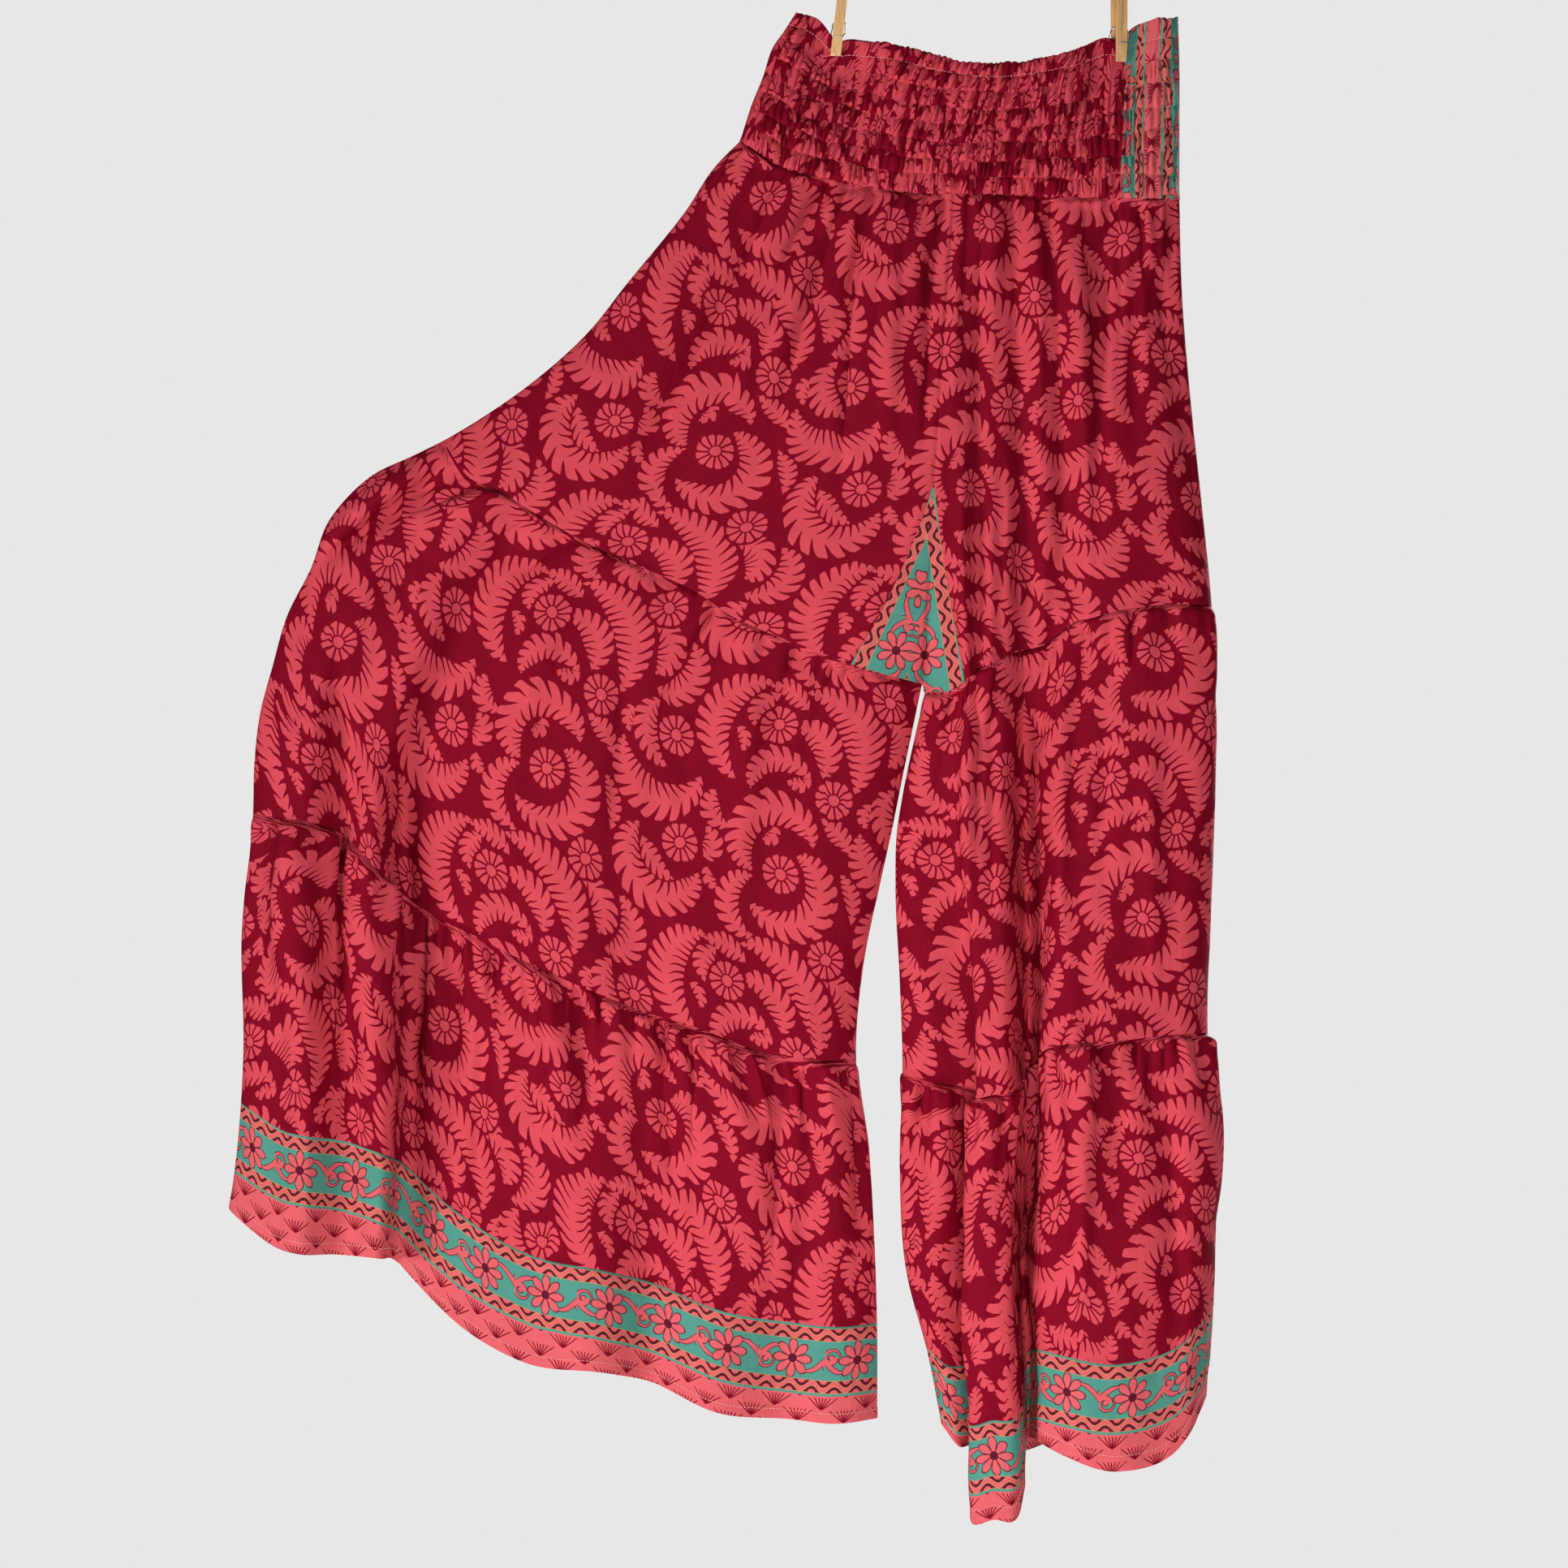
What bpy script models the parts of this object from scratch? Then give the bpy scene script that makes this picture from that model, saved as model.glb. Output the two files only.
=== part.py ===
"""Tiered palazzo trousers hung by the waist from two small clothes pegs.

One leg is spread out sideways like a fan, the other hangs straight in deep folds.
The cloth is a thin wall: a front and a back piece for the waistband, the hips and
each tier of each leg, sewn edge to edge, with a folded gusset at the crotch.

Metres, +Z up, X across the front as it is seen, -Y towards the viewer.
The origin lies midway between the two pegs, level with the springs' arms, which press
their jaws together on the waistband.
The tables are in millimetres.
"""

from math import cos, pi, radians, sin, tan
from typing import NamedTuple

import bmesh
import bpy
import numpy as np

MM = 0.001

# Cloth and sewing: SEAM_GAP and SIDE_GAP part the pieces where they are sewn together
WALL = 1.4
SEAM_GAP = 0.6
SIDE_GAP = 0.4
EDGE_ROUND = 0.09

# Waistband: its casing, the rows of shirring below it and how deep it hangs between the pegs
CASING_SHARE = 0.107
SHIRRING_SPACES = 7
BAND_HALF_DEPTH = 12.0
BAND_FOOT_OUT = 13.0
BAND_SIDE_REACH = 45.0
BAND_SIDE_SHARE = 0.865
BACK_LIFT = 2.5
FRONT_PLEATS = 26
BACK_PLEATS = 20
PUFF = 1.7
PINCHED = 0.35

# Where the pegs grip the waistband: half the flat stretch, and how far its pull reaches
GRIPPED_OUT = 1.9
GRIP_FLAT = 9.0
GRIP_REACH = 44.0
GRIP_TURN_REACH = 13.0
GRIP_DIP = 6.5
GRIP_DIP_REACH = 8.0

# Hips and tiers; BORDER is the share of the last tier above its border
HIP_SWELL = 6.0
HIP_SLANT = 0.88
BORDER = 0.73

# Clothes pegs: JAW_FACE, HANDLE_GAP and LEG_OUTSIDE are measured from the middle of the peg
PEG_LENGTH = 45.0
PEG_WIDTH = 7.5
JAW_FACE = 2.6
JAW_TIP = 1.4
JAW_SLOPE = 1.0
HANDLE_GAP = 4.6
HANDLE_END = 2.2
LEG_OUTSIDE = 6.4
LEG_STRAIGHT_ABOVE = 3.0
GROOVE_DEPTH = 0.5
GROOVE_HALF = 1.0

# Springs of the pegs
ARM_HEIGHT = 13.5
COIL_HEIGHT = 21.5
COIL_RADIUS = 1.9
COIL_INSET = 1.2
COIL_TURNS = 3
COIL_STEPS = 8
SPRING_WIRE = 0.9
WIRE_SIDES = 6
WIRE_CLEAR = 0.25

# Colours
CORAL = (0.60, 0.075, 0.085, 1.0)
TEAL = (0.10, 0.33, 0.28, 1.0)
WOOD = (0.72, 0.43, 0.17, 1.0)
STEEL = (0.55, 0.55, 0.55, 1.0)


class Place(NamedTuple):
    """One point of an edge: how far down the garment it is, and where it lies."""

    down: float
    x: float
    y: float
    z: float


class Fold(NamedTuple):
    """A fold line that runs down a leg, with three values: at seam one, seam two and the hem.

    share is its place in the cloth from one side edge to the other, across is where it
    shows between those edges, out is how far it stands out from the middle of the leg,
    and drop is how far it hangs below the straight line between the edges.
    """

    name: str
    share: float
    across: tuple
    out: tuple
    drop: tuple


class Crease(NamedTuple):
    """A short ridge, or with out below 0 a trough, between two points of the front."""

    x_top: float
    z_top: float
    x_end: float
    z_end: float
    width: float
    out: float


class Gathers(NamedTuple):
    """Small waves that a seam gathers into the cloth below it.

    count is how many there are, out how far they stand out, reach the share of the tier in
    which they fade, and shift moves them sideways.
    """

    count: float
    out: float
    reach: float
    shift: float


class Peg(NamedTuple):
    """A clothes peg: where its jaws end, how far it leans to +X, and how far it is turned."""

    name: str
    x: float
    z: float
    lean: float
    turn: float


PEGS = [
    Peg("left", -101.8, -11.5, 5.2, 0.0),
    Peg("right", 100.8, -15.5, 0.0, 20.0),
]

# Outline of the waistband
BAND_TOP = [(-130, 20), (-116, 16), (-97, 3), (-56, -5), (-14, -15), (13, -18), (40, -15),
            (72, -7), (96, 4), (117, 12), (143, 17)]
BAND_FOOT = [(-170, -72), (-156, -82), (-142, -91), (-129, -95), (-99, -102), (-49, -110),
             (-3, -111), (55, -113), (113, -114), (144, -114)]
BAND_OUTER = [(-130, 20), (-139, 6), (-146, -4), (-154, -27), (-161, -44), (-170, -72)]
BAND_INNER = [(143, 17), (144, -20), (144, -60), (144, -90), (144, -114)]

# Side edges of the spread leg: its outer one from the waistband, its inner one from the gusset
SPREAD_OUTER = [
    Place(0.00, -170, 0, -72),
    Place(0.07, -186, 0, -88),
    Place(0.21, -209, 0, -122),
    Place(0.43, -251, 0, -174),
    Place(0.58, -279, 0, -209),
    Place(0.75, -318, 0, -244),
    Place(0.94, -368, 0, -278),
    Place(1.00, -382, 0, -286),
    Place(1.06, -400, 0, -295),
    Place(1.19, -436, 0, -313),
    Place(1.31, -463, 0, -342),
    Place(1.44, -477, 0, -378),
    Place(1.56, -494, 0, -412),
    Place(1.67, -504, 0, -447),
    Place(1.78, -513, 0, -481),
    Place(1.89, -517, 0, -516),
    Place(2.00, -518, 0, -552),
    Place(2.30, -526, 0, -638),
    Place(2.61, -525, 0, -725),
    Place(2.90, -531, 0, -806),
    Place(3.00, -535, 0, -834),
]
SPREAD_INNER = [
    Place(1.00, -40, 0, -460),
    Place(1.25, -54, 0, -527),
    Place(1.38, -61, 0, -562),
    Place(1.50, -68, 0, -594),
    Place(1.75, -82, 0, -662),
    Place(2.00, -87, 0, -729),
    Place(2.25, -78, 0, -793),
    Place(2.50, -74, 0, -857),
    Place(2.75, -72, 0, -921),
    Place(3.00, -72, 0, -984),
]

# Side edges of the hanging leg
HANGING_INNER = [
    Place(1.00, -38, 0, -466),
    Place(1.25, -54, 0, -540),
    Place(1.35, -58, 0, -566),
    Place(1.50, -59, 0, -606),
    Place(1.75, -56, 0, -671),
    Place(2.00, -54, 0, -737),
    Place(2.25, -56, 0, -803),
    Place(2.50, -52, 0, -875),
    Place(2.75, -36, 0, -938),
    Place(3.00, -26, 0, -988),
]
HANGING_OUTER = [
    Place(0.00, 144, 0, -114),
    Place(0.25, 146, 0, -184),
    Place(0.50, 152, 0, -257),
    Place(0.75, 160, 0, -332),
    Place(1.00, 167, 0, -404),
    Place(1.25, 170, 0, -484),
    Place(1.50, 169, 0, -559),
    Place(1.75, 166, 0, -634),
    Place(2.00, 164, 0, -709),
    Place(2.25, 170, 0, -777),
    Place(2.50, 170, 0, -843),
    Place(2.75, 168, 0, -907),
    Place(3.00, 163, 0, -968),
]

# Centre seam, and the two slanted edges of the gusset below it; y is how far they stand out
CENTRE = [
    Place(0.00, -17, 13, -111),
    Place(0.30, -25, 18, -215),
    Place(0.58, -32, 20, -318),
]
GUSSET_LEFT = [
    Place(0.58, -32, 20, -318),
    Place(0.72, -47, 20, -360),
    Place(0.86, -69, 20, -408),
    Place(1.00, -91, 16, -446),
]
GUSSET_RIGHT = [
    Place(0.58, -32, 20, -318),
    Place(0.72, -26, 19, -368),
    Place(0.86, -18, 19, -416),
    Place(1.00, -10, 20, -459),
]
APEX = 0.58

# Fold lines of the front of the spread leg, from its outer edge to its inner edge
SPREAD_FRONT = [
    Fold("outer edge", 0.00, (0.000, 0.000, 0.000), (11, 18, 24), (0, 0, 0)),
    Fold("pipe outer side", 0.05, (0.047, 0.050, 0.064), (13, 24, 30), (16, -5, 13)),
    Fold("pipe crest", 0.11, (0.094, 0.095, 0.115), (14, 33, 42), (17, -11, 13)),
    Fold("first valley", 0.17, (0.143, 0.154, 0.165), (14, 19, 22), (17, -11, 7)),
    Fold("narrow pleat", 0.24, (0.199, 0.217, 0.240), (13, 26, 36), (19, 5, -2)),
    Fold("deep valley", 0.28, (0.234, 0.245, 0.258), (11, 2, 3), (20, 14, -1)),
    Fold("valley foot", 0.32, (0.269, 0.300, 0.305), (12, 5, 7), (21, 20, 15)),
    Fold("panel side", 0.38, (0.327, 0.370, 0.365), (13, 12, 15), (21, 22, 31)),
    Fold("broad panel", 0.46, (0.404, 0.440, 0.450), (14, 16, 19), (19, 25, 40)),
    Fold("crest", 0.60, (0.541, 0.570, 0.585), (14, 20, 29), (17, 27, 28)),
    Fold("dip", 0.65, (0.582, 0.630, 0.640), (13, 14, 10), (20, 27, 26)),
    Fold("inner panel", 0.76, (0.664, 0.750, 0.755), (14, 18, 25), (20, 22, 31)),
    Fold("inner dip", 0.87, (0.769, 0.860, 0.865), (15, 14, 12), (15, 20, 20)),
    Fold("inner crest", 0.93, (0.851, 0.930, 0.930), (16, 17, 20), (12, 11, 13)),
    Fold("inner edge", 1.00, (1.000, 1.000, 1.000), (12, 14, 17), (0, 0, 0)),
]

# Fold lines of the front of the hanging leg, from its inner edge to its outer edge
HANGING_FRONT = [
    Fold("inner edge", 0.00, (0.000, 0.000, 0.000), (13, 12, 13), (0, 0, 0)),
    Fold("inner panel", 0.07, (0.070, 0.098, 0.060), (16, 13, 14), (4, 9, 16)),
    Fold("tuck", 0.15, (0.137, 0.255, 0.128), (20, 8, 7), (1, 20, 26)),
    Fold("tuck far side", 0.175, (0.149, 0.258, 0.128), (21, 15, 17), (-2, 23, 44)),
    Fold("strip edge", 0.20, (0.160, 0.240, 0.100), (22, 23, 28), (-4, 24, 61)),
    Fold("strip crest", 0.29, (0.230, 0.295, 0.191), (21, 34, 42), (-6, 23, 68)),
    Fold("strip side", 0.37, (0.315, 0.375, 0.295), (14, 28, 35), (-9, 21, 63)),
    Fold("valley near side", 0.42, (0.395, 0.410, 0.318), (5, 0, -1), (-8, 10, 22)),
    Fold("valley far side", 0.46, (0.430, 0.427, 0.335), (5, 0, -1), (-9, 7, 17)),
    Fold("panel edge", 0.51, (0.511, 0.460, 0.355), (15, 26, 31), (-17, -3, 17)),
    Fold("panel side", 0.58, (0.570, 0.515, 0.440), (19, 34, 45), (-17, -6, 26)),
    Fold("panel crest", 0.75, (0.720, 0.690, 0.660), (21, 38, 53), (-15, -4, 42)),
    Fold("panel far side", 0.90, (0.880, 0.880, 0.880), (18, 28, 40), (-8, -3, 32)),
    Fold("outer edge", 1.00, (1.000, 1.000, 1.000), (15, 22, 32), (0, 0, 0)),
]

# Fold lines of the two backs, which lie flatter
SPREAD_BACK = [
    Fold("outer edge", 0.00, (0.000, 0.00, 0.00), (9, 12, 15), (0, 0, 0)),
    Fold("outer panel", 0.12, (0.110, 0.12, 0.12), (12, 15, 19), (12, -8, 10)),
    Fold("outer dip", 0.23, (0.210, 0.23, 0.23), (11, 10, 12), (17, 4, -2)),
    Fold("crest", 0.36, (0.320, 0.36, 0.36), (13, 20, 28), (20, 18, 26)),
    Fold("dip", 0.50, (0.440, 0.50, 0.50), (13, 12, 14), (19, 24, 34)),
    Fold("second crest", 0.66, (0.580, 0.66, 0.66), (14, 20, 27), (18, 26, 26)),
    Fold("second dip", 0.80, (0.710, 0.80, 0.80), (13, 13, 15), (18, 20, 26)),
    Fold("inner panel", 0.93, (0.851, 0.93, 0.93), (15, 16, 19), (12, 10, 12)),
    Fold("inner edge", 1.00, (1.000, 1.00, 1.00), (12, 14, 17), (0, 0, 0)),
]
HANGING_BACK = [
    Fold("inner edge", 0.00, (0.000, 0.00, 0.00), (13, 15, 19), (0, 0, 0)),
    Fold("inner panel", 0.15, (0.137, 0.13, 0.13), (20, 19, 24), (5, 6, 14)),
    Fold("inner dip", 0.30, (0.290, 0.29, 0.29), (18, 20, 20), (0, 6, 28)),
    Fold("crest", 0.46, (0.455, 0.45, 0.45), (21, 28, 36), (-8, 2, 24)),
    Fold("dip", 0.62, (0.620, 0.62, 0.62), (18, 20, 22), (-10, 0, 28)),
    Fold("outer crest", 0.80, (0.800, 0.80, 0.80), (17, 23, 30), (-6, 0, 26)),
    Fold("outer edge", 1.00, (1.000, 1.00, 1.00), (14, 18, 25), (0, 0, 0)),
]

# A lip of cloth that laps over the spread leg below its outer shoulder
FLAP_TOP = (-384.0, -301.0)
FLAP_END = (-482.0, -374.0)
FLAP_OUT = 12.0
FLAP_HOLLOW = 9.0
FLAP_LAP = 3.0
FLAP_WIDTH = 9.0

# Soft tension folds of the front
CREASES = [
    Crease(-190, -150, -262, -300, 12, 4.0),
    Crease(-150, -130, -190, -290, 9, -4.0),
    Crease(-120, -125, -150, -260, 9, 4.0),
    Crease(-340, -330, -395, -372, 7, 4.5),
    Crease(-322, -352, -372, -400, 7, -4.5),
    Crease(-12, -290, -8, -450, 6, 4.0),
    Crease(24, -290, 22, -455, 7, 4.5),
    Crease(66, -250, 66, -440, 9, -6.0),
    Crease(-280, -715, -283, -800, 8, -4.0),
    Crease(-225, -730, -214, -830, 7, -5.0),
    Crease(-150, -745, -140, -880, 9, -4.0),
]

HIP_GATHERS = Gathers(6, 3.0, 0.55, 0.3)
MIDDLE_GATHERS = Gathers(6, 1.8, 0.30, 0.1)
LOWER_GATHERS = Gathers(8, 2.4, 0.60, 0.6)


class Leg(NamedTuple):
    """A leg: its side edges and fold lines, its edge of the gusset, and its first tier.

    hip_shares are the ends of the first tier's stretch of seam one, hip_width its width there.
    """

    name: str
    first: list
    last: list
    front: list
    back: list
    gusset: list
    hip_shares: tuple
    hip_width: float


SPREAD = Leg("spread", SPREAD_OUTER, SPREAD_INNER, SPREAD_FRONT, SPREAD_BACK,
             GUSSET_LEFT, (0.0, 0.93), 300.0)
HANGING = Leg("hanging", HANGING_INNER, HANGING_OUTER, HANGING_FRONT, HANGING_BACK,
              GUSSET_RIGHT, (0.15, 1.0), 180.0)

# How finely the solids are cut up
COLUMN_STEP = {-1: 0.034, 1: 0.055}
EDGE_SHARES = [0.0, 0.012, 0.035]
HIP_ROWS = [0.0, 0.05, 0.14, 0.30, 0.45, 0.58, 0.72, 0.86, 1.0]
TIER_ROWS = [0.0, 0.03, 0.075, 0.16, 0.34, 0.60, 0.82, 1.0]
BACK_HIP_ROWS = [0.0, 0.08, 0.30, 0.58, 0.72, 0.86, 1.0]
BACK_TIER_ROWS = [0.0, 0.06, 0.20, 0.55, 1.0]
BORDER_ROWS = [0.0, 1.0]
GUSSET_ROWS = [0.02, 1 / 3, 2 / 3, 1.0]
BAND_EDGE = 0.006
BAND_INSIDE_EDGE = 0.02
BAND_INSIDE_COLUMNS = 34
BAND_INSIDE_ROWS = 5


def spline(knots, values, at):
    """A smooth curve through the values at the knots, read at other places (Hermite cubics)."""
    knots = np.asarray(knots, float)
    values = np.asarray(values, float)
    slopes = np.gradient(values, knots, axis=0)
    at = np.clip(np.asarray(at, float), knots[0], knots[-1])
    i = np.clip(np.searchsorted(knots, at, side="right") - 1, 0, len(knots) - 2)
    shape = at.shape + (1,) * (values.ndim - 1)
    step = (knots[i + 1] - knots[i]).reshape(shape)
    t = (at - knots[i]).reshape(shape) / step
    return (
        (2 * t**3 - 3 * t**2 + 1) * values[i]
        + (t**3 - 2 * t**2 + t) * step * slopes[i]
        + (3 * t**2 - 2 * t**3) * values[i + 1]
        + (t**3 - t**2) * step * slopes[i + 1]
    )


def along(points, at):
    """Points at shares of the length of a smooth curve through the given ones."""
    points = np.asarray(points, float)
    lengths = np.linalg.norm(np.diff(points, axis=0), axis=1)
    knots = np.concatenate([[0], np.cumsum(lengths)]) / lengths.sum()
    return spline(knots, points, at)


def ease(value, low, high):
    """0 below low, 1 above high and smooth in between."""
    t = np.clip((value - low) / (high - low), 0, 1)
    return t * t * (3 - 2 * t)


def bump(value, centre, width):
    """A soft hump of height 1."""
    return np.exp(-(((value - centre) / width) ** 2))


def rounded(share):
    """How the cloth turns from its side edges: 0 at both, then a quarter round to 1."""
    near = np.clip(np.minimum(share, 1 - share) / EDGE_ROUND, 0, 1)
    return np.sqrt(1 - (1 - near) ** 2)


def edge(places, down):
    """Points of a side edge."""
    return spline([p.down for p in places], [(p.x, p.y, p.z) for p in places], down)


def fitted(route, down, start, end):
    """A route down the garment, moved so that it starts and ends at the given points."""
    first, last = route(np.zeros(1))[0], route(np.ones(1))[0]
    down = down[:, None]
    return route(down[:, 0]) + (1 - down) * (start - first) + down * (end - last)


def patch(top, foot, left, right, s, t, fade=1):
    """A patch between four curves that meet at their ends, as rows of t and columns of s.

    top and foot are functions of s, left and right are points at t. The bends of the foot
    fade upwards with t to the power of fade.
    """
    ends = np.array([0.0, 1.0])
    top_ends, foot_ends = top(ends), foot(ends)
    top_row, foot_row = top(s), foot(s)
    s, t = s[None, :, None], t[:, None, None]
    straight = (1 - s) * foot_ends[0] + s * foot_ends[1]
    corners = (1 - t) * ((1 - s) * top_ends[0] + s * top_ends[1]) + t * straight
    low = t * straight + t**fade * (foot_row - straight)
    return (1 - t) * top_row + low + (1 - s) * left[:, None] + s * right[:, None] - corners


def stand_out(points, side, out, share):
    """Moves the points of one side out from the middle plane, rounding towards its side edges."""
    points[..., 1] += side * (SIDE_GAP / 2 + out * rounded(share))
    return points


def gripped(x):
    """1 between the jaws of a peg, 0 far from both pegs."""
    return sum(1 - ease(np.abs(x - p.x), GRIP_FLAT, GRIP_REACH) for p in PEGS)


def peg_turn(x):
    """How far the cloth lies to the back where a turned peg twists it."""
    return sum(tan(radians(p.turn)) * (x - p.x) * bump(x, p.x, GRIP_TURN_REACH) for p in PEGS)


def band_surface(side, share, fall):
    """The waistband: a patch in its outline, pinched flat between the jaws of both pegs."""
    last = len(BAND_TOP) - 1
    lift = BACK_LIFT if side > 0 else 0.0
    brim = [(x, z + lift * sin(pi * i / last)) for i, (x, z) in enumerate(BAND_TOP)]

    def curve(outline, at):
        return along([(x, 0, z) for x, z in outline], at)

    points = patch(lambda at: curve(brim, at), lambda at: curve(BAND_FOOT, at),
                   curve(BAND_OUTER, fall), curve(BAND_INNER, fall), share, fall)
    x = points[..., 0].copy()
    fall = fall[:, None]
    held = gripped(x)
    shut = sum(bump(x, end[0], BAND_SIDE_REACH) for end in (BAND_FOOT[0], BAND_FOOT[-1]))
    top_out = BAND_HALF_DEPTH * (1 - 0.5 * shut) * (1 - held) + GRIPPED_OUT * held
    loose = ease(fall, 0.2, 1.0)
    points = stand_out(points, side, top_out * (1 - loose) + BAND_FOOT_OUT * loose, share[None])
    points[..., 1] += peg_turn(x) * (1 - ease(fall, 0.3, 0.9))
    dip = sum(bump(x, p.x, GRIP_DIP_REACH) for p in PEGS)
    points[..., 2] -= GRIP_DIP * dip * (1 - ease(fall, 0, 0.25))
    return points


def puckers(points, share, fall, pleats):
    """How far the smocking stands out: upright pleats, pinched where each row of shirring runs."""
    x = points[..., 0]
    spaces = np.clip((fall - CASING_SHARE) / (1 - CASING_SHARE), 0, 1) * SHIRRING_SPACES
    in_casing = np.sin(pi * np.minimum(fall / CASING_SHARE, 1))
    puffed = np.where(fall < CASING_SHARE, in_casing, np.abs(np.sin(pi * spaces)))
    height = PINCHED + (1 - PINCHED) * puffed
    pleat = 0.5 - 0.5 * np.cos(2 * pi * pleats * share)
    ends = ease(np.minimum(share, 1 - share), 0.0, 0.02)
    near_jaws = gripped(x) * (1 - ease(fall, 0.25, 0.45))[:, None]
    clear = 1 - ease(near_jaws, 0.5, 0.98)
    return PUFF * height[:, None] * (pleat * ends)[None] * clear


def leg_surface(leg, side, share, down):
    """One side of a leg below seam one: its fold lines, drawn between its two side edges."""
    table = leg.front if side < 0 else leg.back
    knots = [f.share for f in table]
    values = np.array([(f.across, f.out, f.drop) for f in table], float)
    by_level = spline([1, 2, 3], values.transpose(2, 0, 1), down)
    across, out, drop = spline(knots, by_level.transpose(1, 0, 2), share).transpose(2, 1, 0)
    start, end = edge(leg.first, down)[:, None], edge(leg.last, down)[:, None]
    points = start + (end - start) * across[..., None]
    points[..., 2] -= drop
    return stand_out(points, side, out, share[None])


def seam_edge(leg, side, down):
    """The centre seam from the waistband to the gusset, then the gusset's slanted edge."""
    upper = edge(CENTRE, np.minimum(down, APEX))
    lower = edge(leg.gusset, np.maximum(down, APEX))
    points = np.where((down < APEX)[:, None], upper, lower)
    points[:, 1] = side * (points[:, 1] + SIDE_GAP / 2)
    return points


def centre_share():
    """Where the centre seam meets the waistband's foot, as a share of the foot."""
    shares = np.linspace(0, 1, 400)
    return float(np.interp(CENTRE[0].x, along(BAND_FOOT, shares)[:, 0], shares))


def hip_surface(leg, side, s, down):
    """The first tier of one leg, between the waistband's foot, seam one and the centre seam."""
    spread = leg is SPREAD
    middle = centre_share()
    band_low, band_high = (0, middle) if spread else (middle, 1)
    low, high = leg.hip_shares

    def band_share(at):
        return band_low + (band_high - band_low) * (at**HIP_SLANT if spread else at)

    def top(at):
        return band_surface(side, band_share(at), np.ones(1))[0]

    def foot(at):
        return leg_surface(leg, side, low + (high - low) * at, np.ones(1))[0]

    def outer(at):
        points = edge(leg.first if spread else leg.last, at)
        points[:, 1] += side * SIDE_GAP / 2
        return points

    def centre(at):
        return seam_edge(leg, side, at)

    left, right = (outer, centre) if spread else (centre, outer)
    ends = np.array([0.0, 1.0])
    left = fitted(left, down, top(ends)[0], foot(ends)[0])
    right = fitted(right, down, top(ends)[1], foot(ends)[1])
    points = patch(top, foot, left, right, s, down, fade=2)
    swell = HIP_SWELL * np.sin(pi * np.clip(down, 0, 1))[:, None]
    points[..., 1] += side * swell * rounded(band_share(s))[None]
    return points


def add_gathers(points, side, gathers, share, below):
    """Adds the waves under a seam: a cosine across the cloth that swells and then fades."""
    swell = ease(below, 0, 0.08) * (1 - ease(below, 0.15, gathers.reach))
    uneven = 0.22 * np.sin(2 * pi * (1.7 * share + gathers.shift))
    wave = 0.5 + 0.5 * np.cos(2 * pi * (gathers.count * share + gathers.shift + uneven))
    window = ease(np.minimum(share, 1 - share), 0.03, 0.10)
    points[..., 1] += side * gathers.out * swell[:, None] * (wave * window)[None]


def add_creases(points, share):
    """Adds the tension folds: each a rounded ridge along its line, fading at both ends."""
    x, z = points[..., 0].copy(), points[..., 2].copy()
    window = ease(np.minimum(share, 1 - share), 0.0, 0.05)[None]
    for c in CREASES:
        run, fall = c.x_end - c.x_top, c.z_end - c.z_top
        length = np.hypot(run, fall)
        t = ((x - c.x_top) * run + (z - c.z_top) * fall) / length**2
        away = ((x - c.x_top) * fall - (z - c.z_top) * run) / length
        fade = ease(t, -0.1, 0.35) * (1 - ease(t, 0.6, 1.1))
        points[..., 1] -= window * c.out * fade * bump(away, 0, c.width)


def seam_up(row):
    """The run of a seam at its points, and the direction square to it that rises most."""
    run = np.gradient(row, axis=0)
    run /= np.linalg.norm(run, axis=1, keepdims=True)
    up = np.array([0.0, 0.0, 1.0]) - run[:, 2:] * run
    return run, up / np.linalg.norm(up, axis=1, keepdims=True)


def part_seams(points, above=True, below=True):
    """Draws the first and last rows back from the seams there, square to them."""
    if above:
        points[0] -= SEAM_GAP / 2 * seam_up(points[0])[1]
    if below:
        points[-1] += SEAM_GAP / 2 * seam_up(points[-1])[1]


def add_flap(points, share):
    """Laps the cloth over itself along the flap's line: a lip above it, a hollow below it."""
    run, fall = FLAP_END[0] - FLAP_TOP[0], FLAP_END[1] - FLAP_TOP[1]
    length = np.hypot(run, fall)
    x, z = points[..., 0] - FLAP_TOP[0], points[..., 2] - FLAP_TOP[1]
    t = (x * run + z * fall) / length**2
    below = (z * run - x * fall) / length
    fade = ease(t, -0.1, 0.25) * (1 - ease(t, 0.75, 1.05)) * ease(share, 0.0, 0.03)[None]
    lip = bump(below, -0.9 * FLAP_WIDTH, FLAP_WIDTH)
    hollow = bump(below, 0.6 * FLAP_WIDTH, 0.9 * FLAP_WIDTH)
    lap = FLAP_LAP * fade * bump(below, -0.2 * FLAP_WIDTH, 0.7 * FLAP_WIDTH)
    points[..., 1] -= fade * (FLAP_OUT * lip - FLAP_HOLLOW * hollow)
    points[..., 0] -= lap * fall / length
    points[..., 2] += lap * run / length


def facing(points, side, turned_left, turned_right):
    """Unit normals that look out of the garment.

    The wall ends square to the seams above and below, and level at a turned side edge and
    at an upright seam, so that sewn pieces keep their gap through the wall.
    """
    across = np.gradient(points, axis=1)
    down = np.gradient(points, axis=0)
    normals = side * np.cross(across, down)
    for row in (0, -1):
        run, up = seam_up(points[row])
        square = np.cross(run, up)
        normals[row] = -side * square
    normals[:, 0, 1 if turned_left else 0] = 0
    normals[:, -1, 1 if turned_right else 0] = 0
    return normals / np.linalg.norm(normals, axis=2, keepdims=True)


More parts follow.
